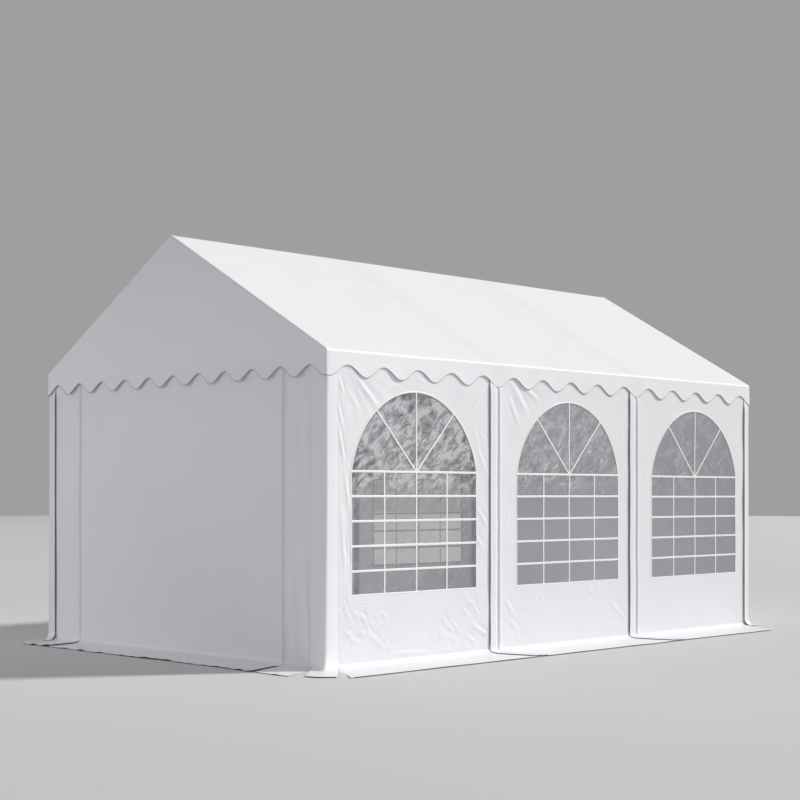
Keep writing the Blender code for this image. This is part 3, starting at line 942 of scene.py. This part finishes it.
def build_roof_cover(sizes, colours):
    """One continuous sheet: the section is swept along the tent with the side valances
    on it, and turns into the two gable sheets through a rounded rake.

    The slopes sag between rafters by the square of a sine along the bay times a sine up
    the slope. The valance's lower edge is a cosine that is lowest at the corners, and it
    hangs out by its depth to a power of 1.5."""
    steps = WAVE_STEPS * sizes.side_waves
    straight = HALF_L - sizes.rake_round
    ends = np.radians([30, 60, 90])
    rake = straight + sizes.rake_round * np.sin(ends)
    y = np.concatenate([-rake[::-1], np.linspace(-straight, straight, steps + 1), rake])
    face = np.concatenate([-ends[::-1], np.zeros(steps + 1), ends])
    half = np.stack([roof_section(sizes, e) for e in sizes.rake_round * (1 - np.cos(face))])
    whole = np.concatenate([half, half[:, -2::-1] * (-1, 1)], axis=1)
    count = whole.shape[1]
    middle = count // 2
    climb = 1 - np.abs(np.arange(count) - middle) / middle
    hump = np.sin(pi * climb)[None]
    bay_share = (y + HALF_L) / LENGTH * BAYS
    dip = sizes.sag * np.sin(pi * bay_share)[:, None] ** 2 * hump
    ripple = swell(whole[..., 0], y[:, None], 3, 0.7, 0.0007) * hump
    rim = 0.0020 * bell(HALF_L - np.abs(y) - 0.010, 0.022)[:, None] * smooth_step(climb / 0.06)
    across, up = whole[..., 0], whole[..., 1] - dip / cos(PITCH) + ripple + rim

    def risen(height):
        """The share of the way up from the eave to the ridge."""
        return np.clip((height - EAVE) / (RIDGE - EAVE), 0, 1)

    near = (smooth_step((np.abs(y) - HALF_L + 0.45) / 0.45) * np.sign(y))[:, None]
    roof = joined(across, y[:, None] + sizes.peak_out * near * risen(up), up)
    share = np.clip((y + straight) / (2 * straight), 0, 1)
    top = half[0, 0, 1]
    right, left = (
        valance(sizes, sign * half[:, 0, 0], y, top, share, sizes.side_waves,
                (sign * np.cos(face), np.sin(face)), sizes.side_flare,
                sizes.wave_start).transpose(1, 0, 2) for sign in (1, -1))
    swept = np.concatenate([right[:, :-1], roof, left[:, -2::-1]], axis=1)
    rows, columns = swept.shape[:2]
    points, places, shade_edges, quads, triangles = [], [], [], [], []

    def keep(grid, place, cut):
        """Keeps a grid's points, their places on the cloth and where its edge takes the painted
        shade line, and gives the number of its first point."""
        start = sum(map(len, points))
        points.append(grid.reshape(-1, 3))
        places.append(place.reshape(-1, 2))
        shade_edges.append(np.broadcast_to(cut, grid.shape[:2]).ravel())
        return start

    run = np.linalg.norm(np.diff(swept[rows // 2], axis=0), axis=-1)
    run = np.concatenate([[0], np.cumsum(run)])
    # The side valances' lower edges, which take the painted shade line
    edge = np.isin(np.arange(columns), (0, columns - 1))
    keep(swept, joined(run, y[:, None]), edge)
    quads.append(grid_faces(rows, columns)[:, ::-1])

    x, height = whole[0, :, 0], up[0, :middle + 1, None]
    level = np.minimum(np.arange(count), count - 1 - np.arange(count))[None]
    row = np.arange(middle + 1)[:, None]
    for sign, ring in ((-1, 0), (1, rows - 1)):
        skirt = valance(sizes, x, np.full(count, sign * HALF_L), top,
                        (x + x.max()) / (2 * x.max()), sizes.gable_waves, (0.0, float(sign)),
                        sizes.gable_flare)
        skirt[:, 0] = swept[ring, :VALANCE_ROWS + 1]
        skirt[:, -1] = swept[ring, ::-1][:VALANCE_ROWS + 1]
        # The gable valance's lower edge takes the painted shade line too
        edge = np.arange(VALANCE_ROWS + 1)[:, None] == 0
        start = keep(skirt, skirt[..., [0, 2]] + (0, 5.0), edge)
        flat = grid_faces(VALANCE_ROWS + 1, count, start=start)

        # Above the eave line: columns under each point of the section, level with its
        # other points, so that the slope itself is the diagonal of the grid
        calm = np.clip((level - row) / 8, 0, 1) * np.clip(row / 6, 0, 1)
        bulge = swell(x[None], height, 21, 0.6, 0.0012)
        out = HALF_L + bulge * calm + sizes.peak_out * risen(height)
        gable = joined(x, sign * out, height)
        start = keep(gable, gable[..., [0, 2]] + (0, 5.0), False)
        cells = grid_faces(middle + 1, count, start=start)
        a, b, c, d = (row <= level).ravel()[cells - start].T
        slopes = np.concatenate([cells[a & b & c & ~d][:, :3],
                                 cells[a & b & d & ~c][:, [0, 1, 3]]])
        # The columns run from +X to -X, so these faces look to +Y as they stand
        quads += [flat[:, ::sign], cells[a & b & c & d][:, ::sign]]
        triangles.append(slopes[:, ::sign])

    # The last value is the depth of the painted shade over the rafters
    cloth = material("pvc_coated_polyester_roof", coated_cloth, colours.roof, 0.46, 0.035)
    cover = lay_mesh("roof_cover", np.concatenate(points),
                     [np.concatenate(quads), np.concatenate(triangles)], cloth,
                     uv=np.concatenate(places), weld=True, cut_edge=np.concatenate(shade_edges))
    thicken(cover)
    dress(cover, "pvc_roof", "roof_slope_left", "roof_slope_right", "valance_left",
          "valance_right", "gable_front", "gable_back")


# Window walls

def build_window_wall(panel, colours):
    """Rings of cloth between the window's outline and the panel's, each a straight share
    of the way from one to the other."""
    outer = panel_outline(panel.left, panel.right, panel.middle, panel.seed)
    inner = window_outline(0.0) - (0.0, panel.drop)
    share = np.linspace(0, 1, RINGS + 1)[:, None, None]
    spot = inner[None] * (1 - share) + outer[None] * share
    a, q = spot[..., 0] + panel.middle, spot[..., 1]
    name = f"window_wall_{panel.label}"
    wall = lay_on_wall(f"{name}_cloth", panel.side, panel.place(a, q), wall_cloth(colours),
                       a, q, closed=True, worn=panel.wear(a, q))
    thicken(wall)
    dress(wall, "pvc_wall", name)
    flat = (panel.right - panel.left, hung_length(SIDE_REACH))
    return wall, flat, flat[0] * flat[1] - enclosed(window_outline(0.0))


def build_film(panel, colours):
    """A film on a grid whose columns lie at even turns of the arch, so that they are
    closest at the jambs, and whose rows share out the height from the sill to the arch."""
    a, high = arch(np.linspace(1, 0, FILM_STEPS), WINDOW_HALF + FILM_LAP,
                   WINDOW_RISE + FILM_LAP)
    low = WINDOW_SILL - FILM_LAP
    q = low + np.linspace(0, 1, FILM_STEPS)[:, None] * (high - low)
    a = np.broadcast_to(a + panel.middle, q.shape)
    inside, q = window_depth(a - panel.middle, q), q - panel.drop
    points = panel.place(a, q, -CLOTH - FILM_BEHIND + panel.film_relief(a, q, inside))
    name = f"window_film_{panel.label}"
    film = lay_on_wall(f"{name}_sheet", panel.side, points,
                       material("clear_soft_pvc_film", clear_film, colours.film, colours.haze_and_reflection),
                       a, q, crumpled=panel.crumpled(q), stripe=panel.stripes(a, q))
    dress(film, "clear_film", name)
    return film, (2 * (WINDOW_HALF + FILM_LAP), WINDOW_TOP - WINDOW_SILL + 2 * FILM_LAP)


def bar_grid(panel, start, end, above, width):
    """A bar's closed section carried along a straight line of the developed window."""
    start, end = np.array(start, float), np.array(end, float)
    length = np.linalg.norm(end - start)
    way = (end - start) / length
    line = start + np.linspace(0, 1, max(4, int(length / BAR_STEP)) + 1)[:, None] * (end - start)
    side = np.array([-way[1], way[0]])
    spot = line[:, None] + (STRIP_SHARE * width / 2)[None, :, None] * side
    a, q = panel.on_cloth(spot)
    relief = panel.film_relief(a, q, window_depth(spot[..., 0], spot[..., 1]))
    return panel.place(a, q, above + STRIP_HEIGHT[None] - CLOTH + relief)


def window_bars(sizes):
    """Each bar's two ends, its height over the film and its width: uprights and cross
    bars below the springing line, and one upright and two slanting bars in the arch."""
    # A slanting bar meets the arch where a quadratic in its length is nought
    wide, high = arch_axes(WINDOW_HALF, WINDOW_RISE)
    across, up, sunk = cos(DIAGONAL) / wide, sin(DIAGONAL) / high, ARCH_SUNK * WINDOW_RISE / high
    whole = across ** 2 + up ** 2
    reach = (sqrt((up * sunk) ** 2 + whole * (1 - sunk ** 2)) - up * sunk) / whole
    tip = (reach * cos(DIAGONAL), WINDOW_SPRING + reach * sin(DIAGONAL))
    cross = WINDOW_SPRING - CROSS_PITCH * np.arange(5)
    bars = [((a, WINDOW_SILL), (a, WINDOW_SPRING), 0.0006, sizes.bar)
            for a in (-WINDOW_HALF / 2, WINDOW_HALF / 2)]
    bars.append(((0.0, WINDOW_SILL), (0.0, WINDOW_TOP), 0.0006, sizes.bar))
    bars += [((-WINDOW_HALF, q), (WINDOW_HALF, q), 0.0010, sizes.cross_bar) for q in cross]
    bars += [((0.0, WINDOW_SPRING), (sign * tip[0], tip[1]), 0.0008, sizes.bar)
             for sign in (-1, 1)]
    return bars


def build_bars(panel, sizes, colours):
    """The bars of one window, welded on the film, as one piece."""
    points, faces, places = [], [], []
    for bar in window_bars(sizes):
        grid = bar_grid(panel, *bar)
        rows, columns = grid.shape[:2]
        faces.append(grid_faces(rows, columns, closed=True, start=sum(map(len, points))))
        points.append(grid.reshape(-1, 3))
        place = joined(np.arange(rows)[:, None] * BAR_STEP, STRIP_SHARE * 0.01)
        places.append(place.reshape(-1, 2))
    made = lay_mesh(f"window_bars_{panel.label}", np.concatenate(points),
                    [np.concatenate(faces)], strip_weld(colours), uv=np.concatenate(places))
    return dress(made, "pvc_wall")


def build_border(panel, sizes, colours):
    """The strip welded round the window, whose section is carried round its outline."""
    laps = STRIP_SHARE[:7] * sizes.border / 2 + sizes.border * 0.2
    spot = np.stack([window_outline(lap) for lap in laps])
    a, q = panel.on_cloth(spot)
    points = panel.place(a, q, BORDER_HEIGHT[:, None])
    made = lay_on_wall(f"window_border_{panel.label}", panel.side, points, strip_weld(colours),
                       a, q, closed=True)
    return dress(made, "pvc_wall")


def build_windows(sizes, colours):
    for side in ("left", "right"):
        for index in range(BAYS):
            panel = WindowPanel(side, index, sizes)
            wall, flat, area = build_window_wall(panel, colours)
            border = build_border(panel, sizes, colours)
            film, flat = build_film(panel, colours)
            bars = build_bars(panel, sizes, colours)


# Gable walls

def seam_fold(a):
    """The cloth along the zips: at the right-hand one a fold that covers it, steep towards
    the door and easy on the other side, where a narrow groove ends it; at the left-hand
    one a narrow groove."""
    past = a - DOOR_HALF
    fold = smooth_step((past + 0.020) / 0.013) * (1 - smooth_step((past - 0.004) / 0.026))
    grooves = 0.0016 * bell(past - 0.036, 0.006) + 0.0040 * bell(a + DOOR_HALF, 0.007)
    return 0.0055 * fold - grooves


def gable_relief(seed, low, high, under, drape, sizes):
    """A nearly flat wall: long shallow swells, a few faint creases, small puckers 85 mm
    apart along the zips and, where it runs on under a corner strip, cloth that sinks.
    drape is the height of long folds, 125 mm apart, that run down it a little slanting."""
    lines = drawn_creases(seed, 6, (low + 0.05, 0.0), (high - 0.05, 0.3), (-0.8, 0.8),
                          (0.04, 0.10), sizes.crease * 0.35)
    lines += drawn_creases(seed + 2, 9 * (high - low), (low + 0.05, 0.3), (high - 0.05, 1.8),
                           (-pi / 2, pi / 2), (0.02, 0.045), sizes.crease * 0.5)

    def relief(a, q):
        height = creases(a, q, lines) + crumple(a, q, seed + 7, 0.30, 0.0007)
        hung = smooth_step((1.75 - q) / 0.5) * (0.6 + 0.4 * np.cos(5 * q + seed))
        height += drape * hung * np.cos(2 * pi * (a + 0.10 * q) / 0.125)
        height *= smooth_step((np.abs(np.abs(a) - DOOR_HALF) - 0.02) / 0.06)
        height += swell(a, q, 31, 0.7, 0.0013)
        pucker = bell(np.abs(a) - DOOR_HALF, 0.035)
        height += pucker * 0.0004 * np.sin(2 * pi * q / 0.085 + 2 * np.sin(9 * q))
        height += seam_fold(a) * smooth_step((1.95 - q) / 0.10)
        sunk = (bool(under[0]) * smooth_step((low + 0.012 - a) / 0.03)
                + bool(under[1]) * smooth_step((a - high + 0.012) / 0.03) * 0.5)
        deep = smooth_step((q - 0.02) / 0.06) * freedom(q) * EDGE_SUNK
        return (height * smooth_step((q + 0.02) / 0.08) - deep * sunk
                + flap_relief(a, q, seed, sizes.flap_lift, sizes.hem_curl))

    return relief


def build_gable_sheet(end, name, low, high, relief, lean, spacing, raised, colours):
    """A wall on a grid of the distance along it and the height on the cloth. raised lifts
    its flap off the ground by a height at its left and at its right edge."""
    a = np.linspace(low, high, max(8, int((high - low) / spacing)) + 1)
    turned = 1 if end == "front" else -1
    reach = FLAP_REACH + NEAR_REACH * smooth_step((turned * a - 0.5) / 0.9)
    bottom = flap_edge(a, len(name) + (0 if end == "front" else 5), reach)
    q = bottom + np.linspace(0, 1, GABLE_ROWS)[:, None] ** 1.15 * (WALL_TOP - bottom)
    a = np.broadcast_to(a, q.shape)
    lifted = raised[0] * bell(a - low, 0.05) + raised[1] * bell(a - high, 0.05)
    lifted = lifted * (1 - smooth_step((q + 0.01) / 0.03))
    points = hang(end, a, q, relief(a, q) + lifted, turned * lean)
    made = lay_on_wall(f"{end}_{name}_cloth", end, points, wall_cloth(colours), a, q,
                       worn=0.16 + 0 * a)
    thicken(made)
    return dress(made, "pvc_wall", f"{end}_{name}")


def build_gable_walls(sizes, colours):
    """At each gable a wide door between two narrow walls, joined by zips. The flaps lean
    to the right of someone in front, as the cloth is laid out on the ground, and at each
    zip one flap lies over the other."""
    for end, seed in (("front", 31), ("back", 47)):
        left = -HALF_W + CORNERS[end, "left"].lap_gable
        right = HALF_W - CORNERS[end, "right"].lap_gable
        # Name, seed, span, how far it runs on under the corner strips, height of its folds,
        # lean of its flap, spacing of its columns and how far its flap's ends are raised
        for name, more, low, high, under, drape, lean, spacing, raised in (
                ("door", 0, -DOOR_HALF, DOOR_HALF, (0, 0), 0.0, 0.13, 0.020, (0.001, 0.009)),
                ("wall_left", 3, left, -DOOR_HALF, (UNDERLAP, 0), 0.0, 0.12, 0.010,
                 (0.0, 0.010)),
                ("wall_right", 5, DOOR_HALF, right, (0, UNDERLAP), 0.0050, 0.15, 0.010,
                 (0.001, 0.0))):
            relief = gable_relief(seed + more, low, high, under, drape, sizes)
            low, high = low - under[0], high + under[1]
            sheet = build_gable_sheet(end, name, low, high, relief, lean, spacing, raised,
                                      colours)
            sides = ("left", "right") if name == "door" else ()
            [build_zip(end, side, relief, colours) for side in sides]


def build_zip(end, side, relief, colours):
    """A zip's tape and its closed coil, carried up the seam beside the door.

    Across it the tape is flat and the coil a half circle. Along it the teeth are a sine
    of 5 mm, coarser than the real 3 mm, so that they read as teeth."""
    seam = DOOR_HALF if side == "right" else -DOOR_HALF
    q = np.linspace(ZIP_LOW, ZIP_HIGH, ZIP_ROWS)[:, None]
    a, q = np.broadcast_arrays(seam + ZIP_ACROSS, q)
    lapped = ZIP_HEIGHT + ZIP_TEETH * np.sin(2 * pi * q / ZIP_PITCH)
    made = lay_on_wall(f"{end}_zip_{side}", end, hang(end, a, q, relief(a, q) + lapped),
                       material("woven_zip_tape", zip_tape, colours.tape), a, q)
    made.data.materials.append(material("moulded_nylon_coil", moulded_coil, colours.coil))
    column = np.arange(len(made.data.polygons)) % (len(ZIP_ACROSS) - 1)
    is_coil = ((column >= 3) & (column <= 6)).astype(np.int32)
    made.data.polygons.foreach_set("material_index", is_coil)
    return dress(made, "pvc_wall")


# Corner strips

def build_corner_strip(end, side, sizes, colours):
    """Cloth that wraps a corner post, and whose foot lies out on the ground as a tongue.

    In plan it runs along the gable, round an arc of 18 mm and along the long side. Each
    line of it goes straight down, round the bend and on to its own point of the tongue's
    straight outer edge. Both laps stand proud of the walls towards their edges."""
    shape = CORNERS[end, side]
    lap_gable, lap_side, turn_up = shape.lap_gable, shape.lap_side, shape.turn_up
    turn_out = min(TONGUE_OUT, turn_up)
    gable_out, side_out = (np.array(WALLS[wall][2], float) for wall in (end, side))
    corner = gable_out * HALF_L + side_out * HALF_W
    arc = CORNER_ROUND * pi / 2
    w = np.concatenate([np.linspace(-lap_gable, HEM - lap_gable, 13)[:-1],
                        np.linspace(HEM - lap_gable, -arc / 2, 11)[:-1],
                        np.linspace(-arc / 2, arc / 2, 9),
                        np.linspace(arc / 2, lap_side - HEM, 8)[1:],
                        np.linspace(lap_side - HEM, lap_side, 13)[1:]])
    turn = np.clip(pi / 4 + w / CORNER_ROUND, 0, pi / 2)
    normal = np.cos(turn)[:, None] * gable_out + np.sin(turn)[:, None] * side_out
    foot = (corner - (CORNER_ROUND + SETBACK) * (gable_out + side_out) + CORNER_ROUND * normal
            - np.maximum(-w - arc / 2, 0)[:, None] * side_out
            - np.maximum(w - arc / 2, 0)[:, None] * gable_out)
    rise_gable = smooth_step((-w - lap_gable + 0.05) / 0.045) * (shape.proud_gable - STRIP_PROUD)
    rise_side = smooth_step((w - lap_side + 0.05) / 0.045) * (shape.proud_side - STRIP_PROUD)
    stitched = bell(w + lap_gable - HEM / 2, 0.004) + bell(lap_side - HEM / 2 - w, 0.004)
    proud = STRIP_PROUD + rise_gable + rise_side - 0.0012 * stitched

    share = (w - w[0]) / (w[-1] - w[0])
    first, last = (corner + tip[0] * gable_out + tip[1] * side_out
                   for tip in (shape.tip_gable, shape.tip_side))
    way = first + share[:, None] * (last - first) - foot
    reach = np.linalg.norm(way, axis=1)
    way = way / reach[:, None]

    q = np.linspace(WALL_TOP, turn_up, STRIP_ROWS[0])[:-1]
    bend = np.linspace(0, pi / 2, STRIP_ROWS[1])
    out = np.linspace(0, 1, STRIP_ROWS[2])[1:]
    away = np.concatenate([0 * q, turn_out * (1 - np.cos(bend))])[:, None]
    away = np.concatenate([np.broadcast_to(away, (len(away), len(w))),
                           turn_out + out[:, None] * (reach - turn_out)[None]])
    up = np.concatenate([q, turn_up * (1 - np.sin(bend)), 0 * out])
    tilt = np.concatenate([0 * q, bend, np.full(len(out), pi / 2)])[:, None]
    lift = np.concatenate([0 * q, 0 * bend, out])[:, None]
    relief = proud[None] * freedom(up)[:, None] * np.cos(tilt)
    relief = relief + swell(w[None], up[:, None], 61, 0.5, 0.0005)
    ground = 0.004 * np.sin(tilt) + sizes.flap_lift * 0.6 * lift ** 2
    corner_way = (gable_out + 0.35 * side_out) * (np.cos(pi * (share - 0.5)) ** 2)[:, None]
    push = shape.push_top + (shape.push_foot - shape.push_top) * smooth_step((1.2 - up) / 1.0)
    push = push * smooth_step((1.96 - up) / 0.3)
    plan = foot[None] + away[..., None] * way[None] + push[:, None, None] * corner_way[None]
    plan = plan + (relief * np.cos(tilt))[..., None] * normal[None]
    z = up[:, None] + ground + CLOTH + np.abs(relief) * np.sin(tilt)
    curve = pi / 2 * sqrt((turn_up ** 2 + turn_out ** 2) / 2)
    run = np.concatenate([q, turn_up - curve * bend * 2 / pi,
                          turn_up - curve - out * (reach.mean() - turn_out)])
    name = f"corner_strip_{end}_{side}"
    made = lay_mesh(f"{name}_cloth", np.concatenate([plan, z[..., None]], axis=-1),
                    [grid_faces(*z.shape)], wall_cloth(colours),
                    uv=joined(w, run[:, None]), toward=(*(gable_out + side_out), 0.0))
    thicken(made)
    dress(made, "pvc_wall", name)


# Steel frame and stage

def build_steel(colours):
    """Gives every tube and fitting of the frame its zinc coat."""
    coat = material("zinc_coated_steel_tube", zinc_steel, colours.steel)
    for name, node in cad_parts.items():
        if name.startswith(("post_", "rafter_", "eave_rail", "ridge_rail", "gable_tie")):
            node.data.materials.clear()
            node.data.materials.append(coat)


def add_softbox(name, place, target, size, power, spread=180, colour="#FFFFFF"):
    """A rectangular lamp that looks at a point, with its spread in degrees."""
    lamp = bpy.data.lights.new(name, "AREA")
    lamp.shape = "RECTANGLE"
    lamp.size, lamp.size_y = size
    lamp.energy = power
    lamp.spread = radians(spread)
    lamp.color = linear(colour)
    made = link_object(name, lamp)
    made.location = place
    made.rotation_euler = (Vector(target) - Vector(place)).to_track_quat("-Z", "Y").to_euler()
    return made


def build_stage(colours):
    """A pale floor, an even pale sky of light, a soft key from the right and behind, and
    the camera at the photograph's place: eye level, looking along the near corner."""
    scene = bpy.context.scene
    x, y = np.meshgrid(*2 * [np.linspace(-60.0, 60.0, 9)])
    lay_mesh("studio_floor", joined(x, y, 0.0), [grid_faces(9, 9)],
                      material("painted_studio_floor", painted_floor, colours.floor),
                      toward=(0, 0, 1))

    scene.world = bpy.data.worlds.new("studio")
    scene.world.use_nodes = True
    connect(scene.world.node_tree.nodes["Background"],
            {"Color": (*linear("#FAFAFC"), 1.0), "Strength": 0.362})
    scene.view_settings.view_transform = "Standard"
    add_softbox("key", (77.4, 117.5, 113.3), (0.0, 0.0, 1.0), (19.0, 19.0), 286000.0,
                colour="#FFFEFC")
    add_softbox("fill", (-6.5, -8.5, 2.8), (-0.9, -2.4, -1.8), (3.0, 2.0), 30.0, 66)
    near = add_softbox("near", (7.0, -2.4, 1.7), (1.5, -2.2, 1.2), (1.5, 1.5), 3.0, 60)
    near.visible_camera = False
    # Inside, the daylight that real cloth lets through: one lamp up and one down
    for name, target in (("inside_up", 3.0), ("inside_down", 0.0)):
        inner = add_softbox(name, (0.0, 0.0, 1.25), (0.0, 0.0, target), (1.6, 3.4), 8.0)
        inner.visible_camera = inner.visible_glossy = False

    lens = bpy.data.cameras.new("camera")
    lens.sensor_width = 36.0
    lens.lens = CAMERA_LENS
    lens.shift_y = CAMERA_SHIFT
    scene.camera = link_object("camera", lens)
    scene.camera.location = CAMERA_PLACE
    scene.camera.rotation_euler = (pi / 2, 0.0, CAMERA_TURN)


# Operators, the panel that lists them, and the script's own run

class MarqueeOperator:
    """Builds its pieces from the scene's sizes and colours."""

    bl_options = {"REGISTER", "UNDO"}

    def execute(self, context):
        self.build(context.scene.marquee_sizes, context.scene.marquee_colours)
        return {"FINISHED"}


class MARQUEE_OT_stage(MarqueeOperator, bpy.types.Operator):
    """Lay the floor and set the lights and the camera"""

    bl_idname = "marquee.stage"
    bl_label = "Stage"

    def build(self, sizes, colours):
        build_stage(colours)


class MARQUEE_OT_roof_cover(MarqueeOperator, bpy.types.Operator):
    """Stretch the roof cover with its gables and valance"""

    bl_idname = "marquee.roof_cover"
    bl_label = "Roof cover"

    def build(self, sizes, colours):
        build_roof_cover(sizes, colours)


class MARQUEE_OT_windows(MarqueeOperator, bpy.types.Operator):
    """Hang the window walls with their films, bars and borders"""

    bl_idname = "marquee.windows"
    bl_label = "Window walls"

    def build(self, sizes, colours):
        build_windows(sizes, colours)


class MARQUEE_OT_gable_walls(MarqueeOperator, bpy.types.Operator):
    """Hang the doors and the narrow walls of both gables, with their zips"""

    bl_idname = "marquee.gable_walls"
    bl_label = "Gable walls"

    def build(self, sizes, colours):
        build_gable_walls(sizes, colours)


class MARQUEE_OT_corner_strips(MarqueeOperator, bpy.types.Operator):
    """Wrap the corner strips round the corner posts"""

    bl_idname = "marquee.corner_strips"
    bl_label = "Corner strips"

    def build(self, sizes, colours):
        for end, side in CORNERS:
            build_corner_strip(end, side, sizes, colours)


class MARQUEE_OT_steel(MarqueeOperator, bpy.types.Operator):
    """Give the steel frame its zinc coat"""

    bl_idname = "marquee.steel"
    bl_label = "Steel frame"

    def build(self, sizes, colours):
        build_steel(colours)


OPERATORS = (MARQUEE_OT_stage, MARQUEE_OT_roof_cover, MARQUEE_OT_windows,
             MARQUEE_OT_gable_walls, MARQUEE_OT_corner_strips, MARQUEE_OT_steel)


class MARQUEE_PT_pieces(bpy.types.Panel):
    """The tent's sizes, colours and pieces"""

    bl_idname = "MARQUEE_PT_pieces"
    bl_label = "Marquee tent"
    bl_space_type = "VIEW_3D"
    bl_region_type = "UI"
    bl_category = "Marquee"

    def draw(self, context):
        for group in (context.scene.marquee_sizes, context.scene.marquee_colours):
            column = self.layout.column()
            for name in group.bl_rna.properties.keys():
                if name not in ("rna_type", "name"):
                    column.prop(group, name)
        for operator in OPERATORS:
            self.layout.operator(operator.bl_idname)


CLASSES = (MarqueeSizes, MarqueeColours, *OPERATORS, MARQUEE_PT_pieces)


def register():
    for item in CLASSES:
        bpy.utils.register_class(item)
    bpy.types.Scene.marquee_sizes = PointerProperty(type=MarqueeSizes)
    bpy.types.Scene.marquee_colours = PointerProperty(type=MarqueeColours)


def unregister():
    del bpy.types.Scene.marquee_colours
    del bpy.types.Scene.marquee_sizes
    for item in reversed(CLASSES):
        bpy.utils.unregister_class(item)


def main():
    register()
    for operator in OPERATORS:
        group, name = operator.bl_idname.split(".")
        getattr(getattr(bpy.ops, group), name)()


if __name__ == "__main__":
    main()
